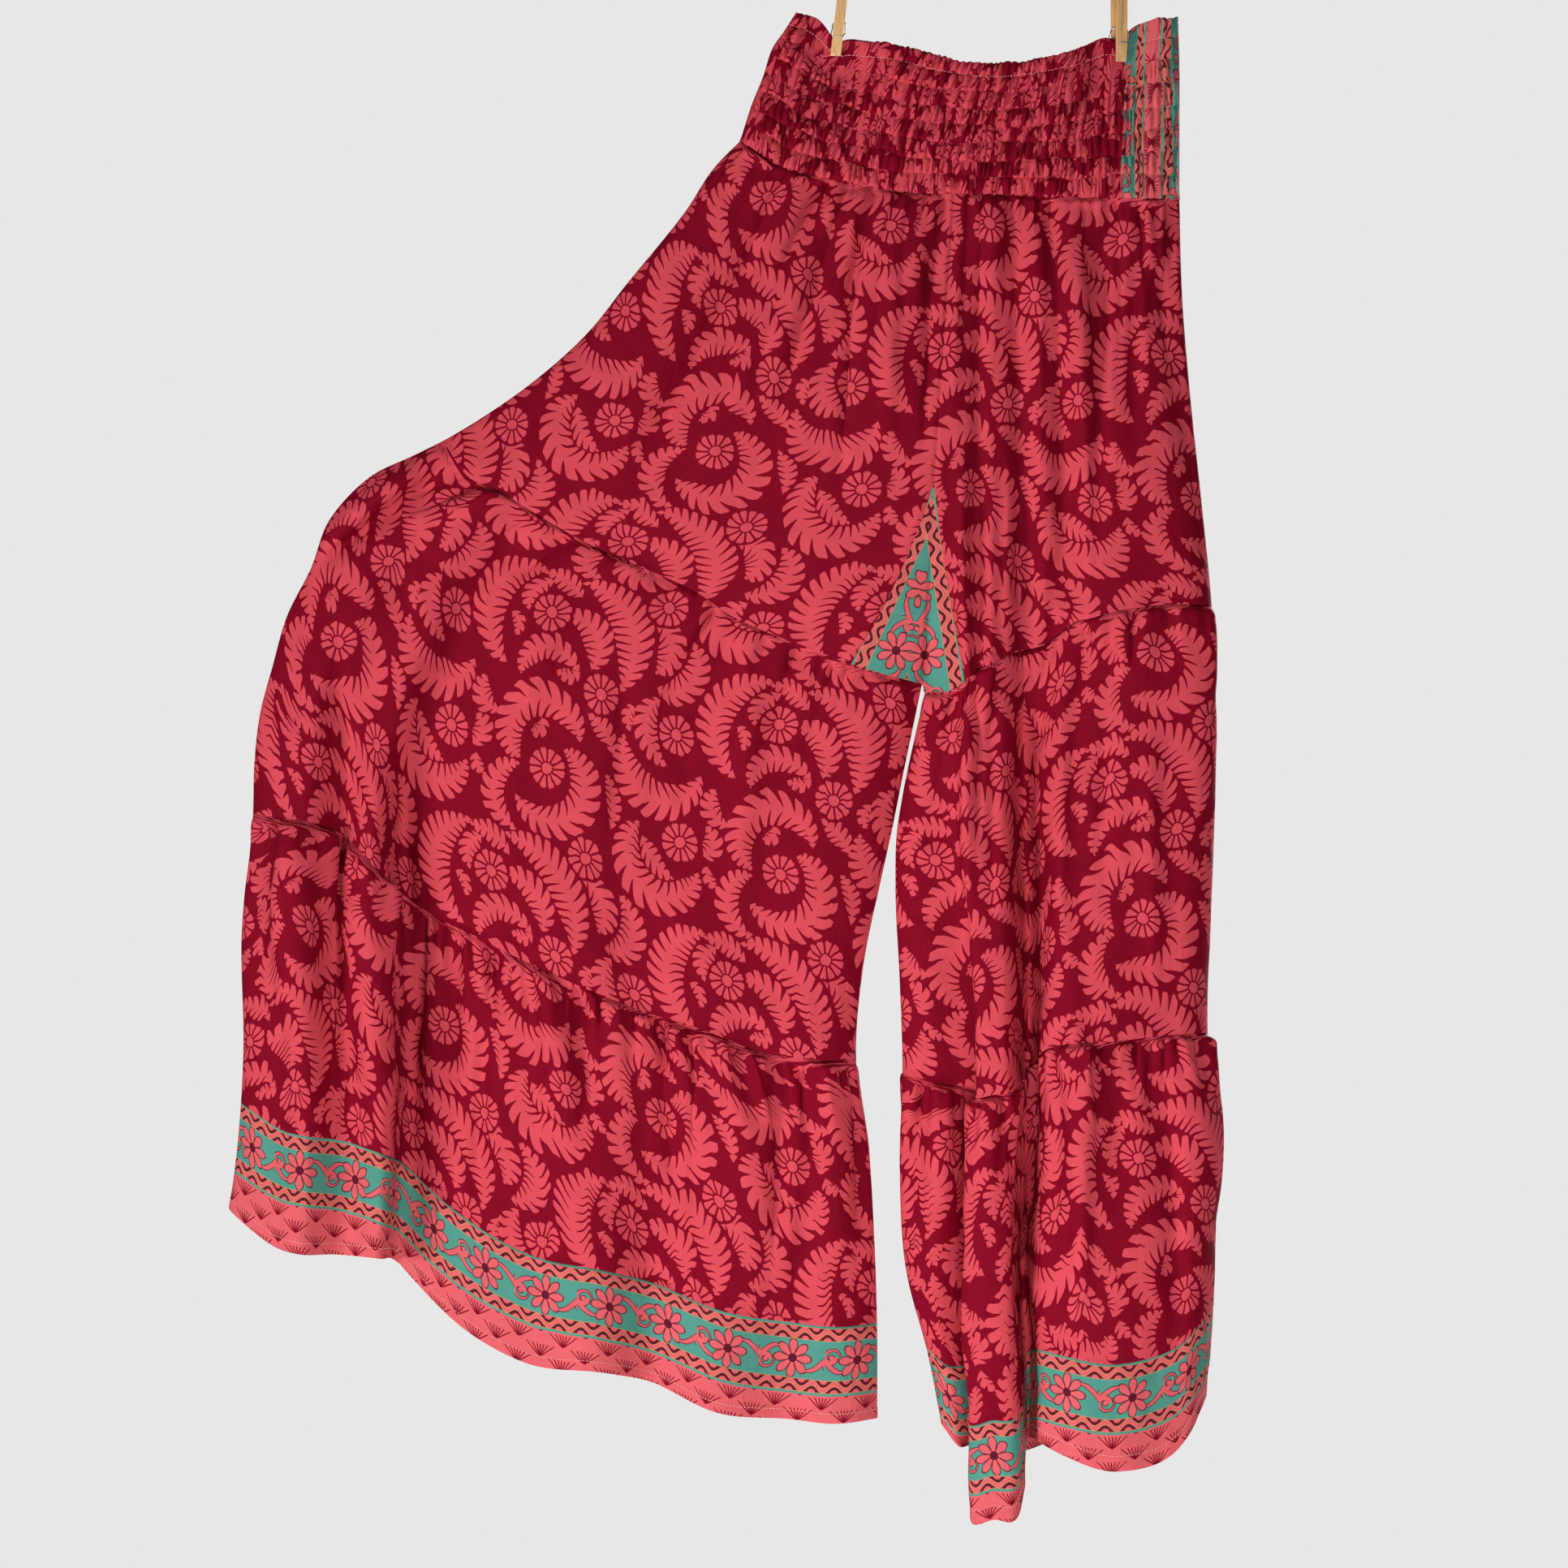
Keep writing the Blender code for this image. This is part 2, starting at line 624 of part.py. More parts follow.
def zip_edges(outside, inside):
    """Triangles between two rows of vertices that run the same way, of any two lengths."""
    faces = []
    i = j = 0
    while i < len(outside) - 1 or j < len(inside) - 1:
        step_out = (i + 1) / (len(outside) - 1)
        step_in = (j + 1) / (len(inside) - 1)
        if j == len(inside) - 1 or (i < len(outside) - 1 and step_out <= step_in):
            faces.append((outside[i], outside[i + 1], inside[j]))
            i += 1
        else:
            faces.append((outside[i], inside[j + 1], inside[j]))
            j += 1
    return faces


def material(name, color, roughness, metallic=0.0):
    """A Principled material."""
    made = bpy.data.materials.new(name)
    made.use_nodes = True
    shader = made.node_tree.nodes["Principled BSDF"]
    shader.inputs["Base Color"].default_value = color
    shader.inputs["Roughness"].default_value = roughness
    shader.inputs["Metallic"].default_value = metallic
    made.diffuse_color = color
    return made


def cloth_material(name, color):
    """A matt cloth of one colour."""
    return material(name, color, 0.85)


def make_object(name, vertices, faces, made):
    """One closed body with its faces outwards."""
    mesh = bpy.data.meshes.new(name)
    body = bmesh.new()
    corners = [body.verts.new(v) for v in np.asarray(vertices) * MM]
    for face in faces:
        body.faces.new([corners[i] for i in face])
    bmesh.ops.recalc_face_normals(body, faces=body.faces[:])
    body.to_mesh(mesh)
    body.free()
    mesh.materials.append(made)
    item = bpy.data.objects.new(name, mesh)
    bpy.context.scene.collection.objects.link(item)
    return item


def make_wall(name, outside, inside, made):
    """A wall between two grids of points, closed round its four edges."""
    faces = []
    numbers = []
    first = 0
    for grid in (outside, inside):
        rows, columns = grid.shape[:2]
        index = first + np.arange(rows * columns).reshape(rows, columns)
        numbers.append(index)
        first += rows * columns
        for i in range(rows - 1):
            for j in range(columns - 1):
                a, b, c, d = index[i, j], index[i, j + 1], index[i + 1, j + 1], index[i + 1, j]
                faces += [(a, b, c), (a, c, d)]
    o, n = numbers
    for out_row, in_row in ((o[0], n[0]), (o[-1], n[-1]), (o[:, 0], n[:, 0]), (o[:, -1], n[:, -1])):
        faces += zip_edges(list(out_row), list(in_row))
    vertices = np.concatenate([outside.reshape(-1, 3), inside.reshape(-1, 3)])
    return make_object(name, vertices, faces, made)


def columns_for(table, side):
    """Shares across a leg: each fold line, steps between them and fine ones at both edges."""
    knots = [f.share for f in table]
    shares = []
    for low, high in zip(knots[:-1], knots[1:]):
        count = max(1, round((high - low) / COLUMN_STEP[side]))
        shares += list(low + (high - low) * np.arange(count) / count)
    shares = [s for s in shares if EDGE_SHARES[-1] + 0.01 < s < 1 - EDGE_SHARES[-1] - 0.01]
    return np.array(EDGE_SHARES + shares + [1 - e for e in reversed(EDGE_SHARES)])


def build_tier(leg, side, level, rows, start, end, name, made):
    """One tier of one side of a leg, between two places down it."""
    table = leg.front if side < 0 else leg.back
    share = columns_for(table, side)
    down = level + start + (end - start) * np.array(rows)
    points = leg_surface(leg, side, share, down)
    add_gathers(points, side, MIDDLE_GATHERS if level == 1 else LOWER_GATHERS, share, down - level)
    if side < 0:
        add_creases(points, share)
        if leg is SPREAD and level == 1:
            add_flap(points, share)
    part_seams(points, below=end < 1 or level < 2)
    inside = points - WALL * facing(points, side, True, True)
    return make_wall(name, points, inside, made)


def build_hip(leg, side, name, made):
    """The front or the back of the first tier of one leg."""
    spread = leg is SPREAD
    low, high = leg.hip_shares
    share = columns_for(leg.front if side < 0 else leg.back, side)
    share = share[(share > low - 0.001) & (share < high + 0.001)]
    s = (share - low) / (high - low)
    inset = SEAM_GAP / 2 / leg.hip_width
    s = np.clip(s, 0 if spread else inset, 1 - inset if spread else 1)
    down = np.array(HIP_ROWS if side < 0 else BACK_HIP_ROWS)
    points = hip_surface(leg, side, s, down)
    add_gathers(points, side, HIP_GATHERS, share, down)
    if side < 0:
        add_creases(points, share)
    part_seams(points)
    inside = points - WALL * facing(points, side, spread, not spread)
    return make_wall(name, points, inside, made)


def build_gusset(side, name, made):
    """The gusset: a patch below the end of the centre seam that dips between the two legs."""
    foot = []
    for leg in (SPREAD, HANGING):
        share = columns_for(leg.front if side < 0 else leg.back, side)
        low, high = leg.hip_shares
        share = share[share > high - 0.001] if leg is SPREAD else share[share < low + 0.001]
        foot.append(leg_surface(leg, side, share, np.ones(1))[0])
    foot = np.concatenate(foot)
    steps = np.linalg.norm(np.diff(foot[:, [0, 2]], axis=0), axis=1)
    s = np.concatenate([[0], np.cumsum(steps)]) / steps.sum()
    t = np.array(GUSSET_ROWS)
    tip = seam_edge(SPREAD, side, np.array([APEX]))

    def slanted(leg, corner):
        points = seam_edge(leg, side, APEX + (1 - APEX) * t)
        return points + t[:, None] * (corner - seam_edge(leg, side, np.ones(1)))

    left, right = slanted(SPREAD, foot[0]), slanted(HANGING, foot[-1])
    points = patch(lambda at: np.repeat(tip, len(at), axis=0), lambda at: spline(s, foot, at),
                   left, right, s, t, fade=2)
    points[..., 0] += SEAM_GAP * (0.5 - s)[None]
    points[-1, :, 2] += SEAM_GAP
    least = WALL + SIDE_GAP / 2 + SEAM_GAP / 2
    points[..., 1] = side * np.maximum(side * points[..., 1], least)
    inside = points.copy()
    inside[..., 1] -= side * WALL
    return make_wall(name, points, inside, made)


def build_band(side, low, high, pleats, name, made):
    """A stretch of the smocked waistband: raised pleats outside, a plain face inside."""
    turned_left, turned_right = low == 0, high == 1
    columns = list(np.linspace(low, high, round(2 * pleats * (high - low)) + 1))
    if turned_left:
        columns.insert(1, BAND_EDGE)
    if turned_right:
        columns.insert(-1, 1 - BAND_EDGE)
    share = np.array(columns)
    inset = SEAM_GAP / 2 / (BAND_FOOT[-1][0] - BAND_FOOT[0][0])
    share[0] += 0 if turned_left else inset
    share[-1] -= 0 if turned_right else inset
    spaces = np.arange(2 * SHIRRING_SPACES + 1) / (2 * SHIRRING_SPACES)
    fall = np.concatenate([[0, 0.5 * CASING_SHARE], CASING_SHARE + (1 - CASING_SHARE) * spaces])
    points = band_surface(side, share, fall)
    height = puckers(points, share, fall, pleats)
    plain_share = np.linspace(share[0], share[-1], max(5, int(BAND_INSIDE_COLUMNS * (high - low))))
    edges = [share[0] + BAND_INSIDE_EDGE, share[-1] - BAND_INSIDE_EDGE]
    plain_share = np.unique(np.concatenate([plain_share, edges]))
    inside = band_surface(side, plain_share, np.linspace(0, 1, BAND_INSIDE_ROWS + 1))
    part_seams(points, above=False)
    part_seams(inside, above=False)
    inside -= WALL * facing(inside, side, turned_left, turned_right)
    points += height[..., None] * facing(points, side, turned_left, turned_right)
    return make_wall(name, points, inside, made)


def placed(peg, points):
    """Points of a peg, given from the end of its jaws, put where the peg hangs."""
    x, y, z = np.asarray(points, float).T
    turn = radians(peg.turn)
    across = x * cos(turn) - y * sin(turn) + peg.lean * z / PEG_LENGTH
    depth = x * sin(turn) + y * cos(turn)
    return np.stack([peg.x + across, depth, peg.z + z], axis=1)


def build_peg_leg(peg, side, name, made):
    """One wooden leg: a wedge with a jaw below, a seat for the coil and a handle above."""
    straight = COIL_HEIGHT + LEG_STRAIGHT_ABOVE
    groove = LEG_OUTSIDE - GROOVE_DEPTH
    profile = [
        (JAW_FACE, 0.0),
        (JAW_FACE, straight),
        (HANDLE_GAP, PEG_LENGTH),
        (HANDLE_GAP + HANDLE_END, PEG_LENGTH),
        (LEG_OUTSIDE, straight),
        (LEG_OUTSIDE, ARM_HEIGHT + 2 * GROOVE_HALF),
        (groove, ARM_HEIGHT + GROOVE_HALF),
        (groove, ARM_HEIGHT - GROOVE_HALF),
        (LEG_OUTSIDE, ARM_HEIGHT - 2 * GROOVE_HALF),
        (JAW_FACE + JAW_TIP + JAW_SLOPE, JAW_SLOPE),
        (JAW_FACE + JAW_TIP, 0.0),
    ]
    count = len(profile)
    points = []
    for x in (-PEG_WIDTH / 2, PEG_WIDTH / 2):
        points += [(x, side * out, z) for out, z in profile]
    faces = [tuple(range(count)), tuple(range(count, 2 * count))]
    faces += [(i, (i + 1) % count, count + (i + 1) % count, count + i) for i in range(count)]
    return make_object(name, placed(peg, points), faces, made)


def build_spring(peg, name, made):
    """The wire spring: a coil between the legs and an arm round the outside of each."""
    turns = np.linspace(0, 2 * pi * COIL_TURNS, COIL_TURNS * COIL_STEPS + 1)
    half = PEG_WIDTH / 2 - COIL_INSET
    coil = np.stack([
        -half + 2 * half * turns / turns[-1],
        -COIL_RADIUS * np.sin(turns),
        COIL_HEIGHT + COIL_RADIUS * np.cos(turns),
    ], axis=1)
    beside = PEG_WIDTH / 2 + SPRING_WIRE / 2 + WIRE_CLEAR
    outside = LEG_OUTSIDE - GROOVE_DEPTH + SPRING_WIRE / 2 + WIRE_CLEAR
    top = COIL_HEIGHT + COIL_RADIUS
    arm = [
        (0.4 * beside, outside, ARM_HEIGHT),
        (-0.7 * beside, outside, ARM_HEIGHT),
        (-beside, outside - 0.3, ARM_HEIGHT + 1.6),
        (-beside, outside - 1.2, top - 2.0),
        (-beside, COIL_RADIUS, top + 0.1),
    ]
    end = [(-x, -y, z) for x, y, z in reversed(arm)]
    path = placed(peg, np.concatenate([arm, coil, end]))
    sides = WIRE_SIDES
    tangents = np.gradient(path, axis=0)
    tangents /= np.linalg.norm(tangents, axis=1, keepdims=True)
    normal = np.array([0.0, 0.0, 1.0])
    rings = []
    for point, tangent in zip(path, tangents):
        normal = normal - tangent * np.dot(normal, tangent)
        normal /= np.linalg.norm(normal)
        other = np.cross(tangent, normal)
        angles = 2 * pi * np.arange(sides) / sides
        rings.append(point + SPRING_WIRE / 2 * (np.outer(np.cos(angles), normal)
                                               + np.outer(np.sin(angles), other)))
    faces = [tuple(range(sides)), tuple(range((len(rings) - 1) * sides, len(rings) * sides))]
    for r in range(len(rings) - 1):
        for k in range(sides):
            a, b = r * sides + k, r * sides + (k + 1) % sides
            faces += [(a, b, b + sides), (a, b + sides, a + sides)]
    return make_object(name, np.concatenate(rings), faces, made)


def main():
    for item in list(bpy.data.objects):
        bpy.data.objects.remove(item, do_unlink=True)
    build_band(-1, 0.0, BAND_SIDE_SHARE, FRONT_PLEATS, "waistband_front",
               cloth_material("waistband front cloth", CORAL))
    build_band(-1, BAND_SIDE_SHARE, 1.0, FRONT_PLEATS, "waistband_side",
               cloth_material("waistband side cloth", TEAL))
    build_band(1, 0.0, 1.0, BACK_PLEATS, "waistband_back",
               cloth_material("waistband back cloth", CORAL))
    for side, word, rows in ((-1, "front", TIER_ROWS), (1, "back", BACK_TIER_ROWS)):
        build_gusset(side, f"gusset_{word}", cloth_material(f"gusset {word} cloth", TEAL))
        for leg in (SPREAD, HANGING):
            name = f"{leg.name}_leg"
            build_hip(leg, side, f"{name}_tier_1_{word}",
                      cloth_material(f"{name} tier 1 {word} cloth", CORAL))
            build_tier(leg, side, 1, rows, 0.0, 1.0, f"{name}_tier_2_{word}",
                       cloth_material(f"{name} tier 2 {word} cloth", CORAL))
            build_tier(leg, side, 2, rows, 0.0, BORDER, f"{name}_tier_3_{word}",
                       cloth_material(f"{name} tier 3 {word} cloth", CORAL))
            build_tier(leg, side, 2, BORDER_ROWS, BORDER, 1.0, f"{name}_border_{word}",
                       cloth_material(f"{name} border {word} cloth", TEAL))
    for peg in PEGS:
        name = f"{peg.name}_peg"
        build_peg_leg(peg, -1, f"{name}_front", material(f"{name} front wood", WOOD, 0.6))
        build_peg_leg(peg, 1, f"{name}_back", material(f"{name} back wood", WOOD, 0.6))
        build_spring(peg, f"{name}_spring", material(f"{name} spring steel", STEEL, 0.35, 1.0))


main()
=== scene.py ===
"""Tiered palazzo trousers hung by the waist from two small clothes pegs.

The cloth is a set of thin shells: the waistband, and the hips, tiers and borders of both
legs, front and back. Each is a smooth surface between measured edges and fold lines, with
gathers, creases and puckers moved out of it, and a print worked out in the cloth's own
coordinates. Tables are in millimetres, with +Z up, X across the front as it is seen and -Y
towards the viewer. The file is laid out as an add-on, with an operator for each group.
"""

from functools import partial, reduce
from math import cos, pi, radians, sin, tan
from typing import NamedTuple

import bpy
import numpy as np
from bpy.props import FloatProperty, FloatVectorProperty, PointerProperty
from bpy.types import Operator, Panel, PropertyGroup
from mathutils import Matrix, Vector


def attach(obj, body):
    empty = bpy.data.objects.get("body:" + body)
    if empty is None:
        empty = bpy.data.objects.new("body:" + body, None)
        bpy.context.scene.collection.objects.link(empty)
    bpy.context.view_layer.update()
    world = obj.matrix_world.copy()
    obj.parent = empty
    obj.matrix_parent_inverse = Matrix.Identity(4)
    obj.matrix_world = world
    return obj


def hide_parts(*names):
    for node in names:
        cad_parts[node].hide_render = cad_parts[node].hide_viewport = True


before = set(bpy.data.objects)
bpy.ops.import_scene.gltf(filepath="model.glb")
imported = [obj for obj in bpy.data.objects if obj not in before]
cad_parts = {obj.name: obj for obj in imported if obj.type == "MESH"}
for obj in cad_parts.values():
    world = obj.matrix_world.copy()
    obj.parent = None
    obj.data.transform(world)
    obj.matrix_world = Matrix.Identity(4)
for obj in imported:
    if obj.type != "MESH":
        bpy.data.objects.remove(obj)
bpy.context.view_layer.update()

bl_info = {
    "name": "Tiered palazzo trousers",
    "version": (1, 0, 0),
    "blender": (4, 5, 0),
    "location": "3D View > Sidebar > Trousers",
    "description": "Hung palazzo trousers with a smocked waist, tiers, printed borders and pegs",
    "category": "Object",
}

MM = 0.001

# Waistband: its casing, the rows of shirring below it and how deep it hangs between the pegs
CASING_SHARE = 0.107
SHIRRING_SPACES = 7
BAND_HALF_DEPTH = 12.0
BAND_FOOT_OUT = 13.0
BAND_SIDE_REACH = 45.0
BAND_SIDE_SHARE = 0.865
BACK_LIFT = 2.5

# Where the pegs grip the waistband: half the flat stretch, and how far its pull reaches
GRIPPED_OUT = 1.9
GRIP_FLAT = 9.0
GRIP_REACH = 44.0
GRIP_TURN_REACH = 13.0
GRIP_DIP = 6.5
GRIP_DIP_REACH = 8.0

# Hips and tiers; BORDER is the share of the last tier above its border
HIP_SWELL = 6.0
HIP_SLANT = 0.88
BORDER = 0.73

# Clothes pegs: JAW_FACE, HANDLE_GAP and LEG_OUTSIDE are measured from the middle of the peg
PEG_LENGTH = 45.0
PEG_WIDTH = 7.5
JAW_FACE = 2.6
JAW_TIP = 1.4
JAW_SLOPE = 1.0
HANDLE_GAP = 4.6
HANDLE_END = 2.2
LEG_OUTSIDE = 6.4
LEG_STRAIGHT_ABOVE = 3.0
GROOVE_DEPTH = 0.5
GROOVE_HALF = 1.0

# Springs of the pegs
ARM_HEIGHT = 13.5
COIL_HEIGHT = 21.5
COIL_RADIUS = 1.9
COIL_INSET = 1.2
COIL_TURNS = 3
SPRING_WIRE = 0.9
WIRE_CLEAR = 0.25


class Place(NamedTuple):
    """One point of an edge: how far down the garment it is, and where it lies."""

    down: float
    x: float
    z: float
    y: float = 0.0


class Fold(NamedTuple):
    """A fold line that runs down a leg, with three values: at seam one, seam two and the hem.

    share is its place in the cloth from one side edge to the other, across is where it
    shows between those edges, out is how far it stands out from the middle of the leg,
    and drop is how far it hangs below the straight line between the edges.
    """

    share: float
    across: tuple
    out: tuple
    drop: tuple


class Crease(NamedTuple):
    """A ridge, or with out below 0 a trough, between two points of one side, as it is seen."""

    x_top: float
    z_top: float
    x_end: float
    z_end: float
    width: float
    out: float


class Gathers(NamedTuple):
    """Small waves that a seam gathers into the cloth below it.

    count is how many there are, out how far they stand out, reach the share of the tier in
    which they fade, and shift moves them sideways.
    """

    count: float
    out: float
    reach: float
    shift: float


class Peg(NamedTuple):
    """A clothes peg: where its jaws end, how far it leans to +X, and how far it is turned."""

    name: str
    x: float
    z: float
    lean: float
    turn: float


def listed(kind, *rows):
    """A table with one entry of a kind for each row of values."""
    return [kind(*row) for row in rows]


PEGS = [
    Peg("left", -101.8, -11.5, 5.2, 0.0),
    Peg("right", 100.8, -15.5, 0.0, 20.0),
]

# Outline of the waistband
BAND_TOP = [(-130, 20), (-116, 16), (-97, 3), (-56, -5), (-14, -15), (13, -18), (40, -15),
            (72, -7), (96, 4), (117, 12), (143, 17)]
BAND_FOOT = [(-170, -72), (-156, -82), (-142, -91), (-129, -95), (-99, -102), (-49, -110),
             (-3, -111), (55, -113), (113, -114), (144, -114)]
BAND_OUTER = [(-130, 20), (-139, 6), (-146, -4), (-154, -27), (-161, -44), (-170, -72)]
BAND_INNER = [(143, 17), (144, -20), (144, -60), (144, -90), (144, -114)]

# Side edges of the spread leg: its outer one from the waistband, its inner one from the gusset
SPREAD_OUTER = listed(
    Place,
    (0, -170, -72), (0.07, -186, -88), (0.21, -209, -122), (0.43, -251, -174), (0.58, -279, -209),
    (0.75, -318, -244), (0.94, -368, -278), (1, -382, -286), (1.06, -400, -295), (1.19, -436, -313),
    (1.31, -463, -342), (1.44, -477, -378), (1.56, -494, -412), (1.67, -504, -447),
    (1.78, -513, -481), (1.89, -517, -516), (2, -518, -552), (2.3, -526, -638), (2.61, -525, -725),
    (2.9, -531, -806), (3, -535, -834),
)
SPREAD_INNER = listed(
    Place,
    (1, -40, -460), (1.25, -54, -527), (1.38, -61, -562), (1.5, -68, -594), (1.75, -82, -662),
    (2, -87, -729), (2.25, -78, -793), (2.5, -74, -857), (2.75, -72, -921), (3, -72, -984),
)


# Side edges of the hanging leg
HANGING_INNER = listed(
    Place,
    (1, -38, -466), (1.25, -54, -540), (1.35, -58, -566), (1.5, -59, -606), (1.75, -56, -671),
    (2, -54, -737), (2.25, -56, -803), (2.5, -52, -875), (2.75, -36, -938), (3, -26, -988),
)
HANGING_OUTER = listed(
    Place,
    (0, 144, -114), (0.25, 146, -184), (0.5, 152, -257), (0.75, 160, -332), (1, 167, -404),
    (1.25, 170, -484), (1.5, 169, -559), (1.75, 166, -634), (2, 164, -709), (2.25, 170, -777),
    (2.5, 170, -843), (2.75, 168, -907), (3, 163, -968),
)


# Centre seam, and the two slanted edges of the gusset below it; y is how far they stand out
CENTRE = listed(
    Place,
    (0, -17, -111, 13), (0.3, -25, -215, 18), (0.58, -32, -318, 20),
)
GUSSET_LEFT = listed(
    Place,
    (0.58, -32, -318, 20), (0.72, -47, -360, 20), (0.86, -69, -408, 20), (1, -91, -446, 16),
)
GUSSET_RIGHT = listed(
    Place,
    (0.58, -32, -318, 20), (0.72, -26, -368, 19), (0.86, -18, -416, 19), (1, -10, -459, 20),
)
APEX = 0.58

# Fold lines of the front of the spread leg, from its outer edge to its inner edge
SPREAD_FRONT = listed(
    Fold,
    (0, (0, 0, 0), (11, 18, 24), (0, 0, 0)),  # outer edge
    (0.05, (0.047, 0.050, 0.064), (13, 24, 30), (16, -5, 13)),  # pipe outer side
    (0.11, (0.094, 0.095, 0.115), (14, 33, 42), (17, -11, 13)),  # pipe crest
    (0.17, (0.143, 0.154, 0.165), (14, 19, 22), (17, -11, 7)),  # first valley
    (0.24, (0.199, 0.217, 0.240), (13, 26, 36), (19, 5, -2)),  # narrow pleat
    (0.28, (0.234, 0.245, 0.258), (11, 2, 3), (20, 14, -1)),  # deep valley
    (0.32, (0.269, 0.300, 0.305), (12, 5, 7), (21, 20, 15)),  # valley foot
    (0.38, (0.327, 0.370, 0.365), (13, 12, 15), (21, 22, 31)),  # panel side
    (0.46, (0.404, 0.440, 0.450), (14, 16, 19), (19, 25, 40)),  # broad panel
    (0.60, (0.541, 0.570, 0.585), (14, 20, 29), (17, 27, 28)),  # crest
    (0.65, (0.582, 0.630, 0.640), (13, 14, 10), (20, 27, 26)),  # dip
    (0.76, (0.664, 0.750, 0.755), (14, 18, 25), (20, 22, 31)),  # inner panel
    (0.87, (0.769, 0.860, 0.865), (15, 14, 12), (15, 20, 20)),  # inner dip
    (0.93, (0.851, 0.930, 0.930), (16, 17, 20), (12, 11, 13)),  # inner crest
    (1, (1, 1, 1), (12, 14, 17), (0, 0, 0)),  # inner edge
)


# Fold lines of the front of the hanging leg, from its inner edge to its outer edge
HANGING_FRONT = listed(
    Fold,
    (0, (0, 0, 0), (13, 12, 13), (0, 0, 0)),  # inner edge
    (0.07, (0.070, 0.098, 0.060), (16, 13, 14), (4, 9, 16)),  # inner panel
    (0.15, (0.137, 0.255, 0.128), (20, 8, 7), (1, 20, 26)),  # tuck
    (0.175, (0.149, 0.258, 0.128), (21, 15, 17), (-2, 23, 44)),  # tuck far side
    (0.20, (0.160, 0.240, 0.100), (22, 23, 28), (-4, 24, 61)),  # strip edge
    (0.29, (0.230, 0.295, 0.191), (21, 34, 42), (-6, 23, 68)),  # strip crest
    (0.37, (0.315, 0.375, 0.295), (14, 28, 35), (-9, 21, 63)),  # strip side
    (0.42, (0.395, 0.410, 0.318), (5, 0, -1), (-8, 10, 22)),  # valley near side
    (0.46, (0.430, 0.427, 0.335), (5, 0, -1), (-9, 7, 17)),  # valley far side
    (0.51, (0.511, 0.460, 0.355), (15, 26, 31), (-17, -3, 17)),  # panel edge
    (0.58, (0.570, 0.515, 0.440), (19, 34, 45), (-17, -6, 26)),  # panel side
    (0.75, (0.720, 0.690, 0.660), (21, 38, 53), (-15, -4, 42)),  # panel crest
    (0.90, (0.880, 0.880, 0.880), (18, 28, 40), (-8, -3, 32)),  # panel far side
    (1, (1, 1, 1), (15, 22, 32), (0, 0, 0)),  # outer edge
)


# Fold lines of the two backs, which lie flatter
SPREAD_BACK = listed(
    Fold,
    (0, (0, 0, 0), (9, 12, 15), (0, 0, 0)),  # outer edge
    (0.12, (0.110, 0.12, 0.12), (12, 15, 19), (12, -8, 10)),  # outer panel
    (0.23, (0.210, 0.23, 0.23), (11, 10, 12), (17, 4, -2)),  # outer dip
    (0.36, (0.320, 0.36, 0.36), (13, 20, 28), (20, 18, 26)),  # crest
    (0.50, (0.440, 0.50, 0.50), (13, 12, 14), (19, 24, 34)),  # dip
    (0.66, (0.580, 0.66, 0.66), (14, 20, 27), (18, 26, 26)),  # second crest
    (0.80, (0.710, 0.80, 0.80), (13, 13, 15), (18, 20, 26)),  # second dip
    (0.93, (0.851, 0.93, 0.93), (15, 16, 19), (12, 10, 12)),  # inner panel
    (1, (1, 1, 1), (12, 14, 17), (0, 0, 0)),  # inner edge
)
HANGING_BACK = listed(
    Fold,
    (0, (0, 0, 0), (13, 15, 19), (0, 0, 0)),  # inner edge
    (0.15, (0.137, 0.13, 0.13), (20, 19, 24), (5, 6, 14)),  # inner panel
    (0.30, (0.290, 0.29, 0.29), (18, 20, 20), (0, 6, 28)),  # inner dip
    (0.46, (0.455, 0.45, 0.45), (21, 28, 36), (-8, 2, 24)),  # crest
    (0.62, (0.620, 0.62, 0.62), (18, 20, 22), (-10, 0, 28)),  # dip
    (0.80, (0.800, 0.80, 0.80), (17, 23, 30), (-6, 0, 26)),  # outer crest
    (1, (1, 1, 1), (14, 18, 25), (0, 0, 0)),  # outer edge
)


# A lip of cloth that laps over the spread leg below its outer shoulder
FLAP_TOP = (-384.0, -301.0)
FLAP_END = (-482.0, -374.0)
FLAP_OUT = 12.0
FLAP_HOLLOW = 9.0
FLAP_LAP = 3.0
FLAP_WIDTH = 9.0

# Soft tension folds of the front
CREASES = listed(
    Crease,
    (-190, -150, -262, -300, 12, 4.0), (-150, -130, -190, -290, 9, -4.0),
    (-120, -125, -150, -260, 9, 4.0), (-340, -330, -395, -372, 7, 4.5),
    (-322, -352, -372, -400, 7, -4.5), (-12, -290, -8, -450, 6, 4.0), (24, -290, 22, -455, 7, 4.5),
    (66, -250, 66, -440, 9, -6.0), (-280, -715, -283, -800, 8, -4.0),
    (-225, -730, -214, -830, 7, -5.0), (-150, -745, -140, -880, 9, -4.0),
)


HIP_GATHERS = Gathers(6, 3.0, 0.55, 0.3)
MIDDLE_GATHERS = Gathers(6, 1.8, 0.30, 0.1)
LOWER_GATHERS = Gathers(8, 2.4, 0.60, 0.6)


class Leg(NamedTuple):
    """A leg: its side edges and fold lines, its edge of the gusset, and its first tier.

    hip_shares are the ends of the first tier's stretch of seam one.
    """

    name: str
    first: list
    last: list
    front: list
    back: list
    gusset: list
    hip_shares: tuple


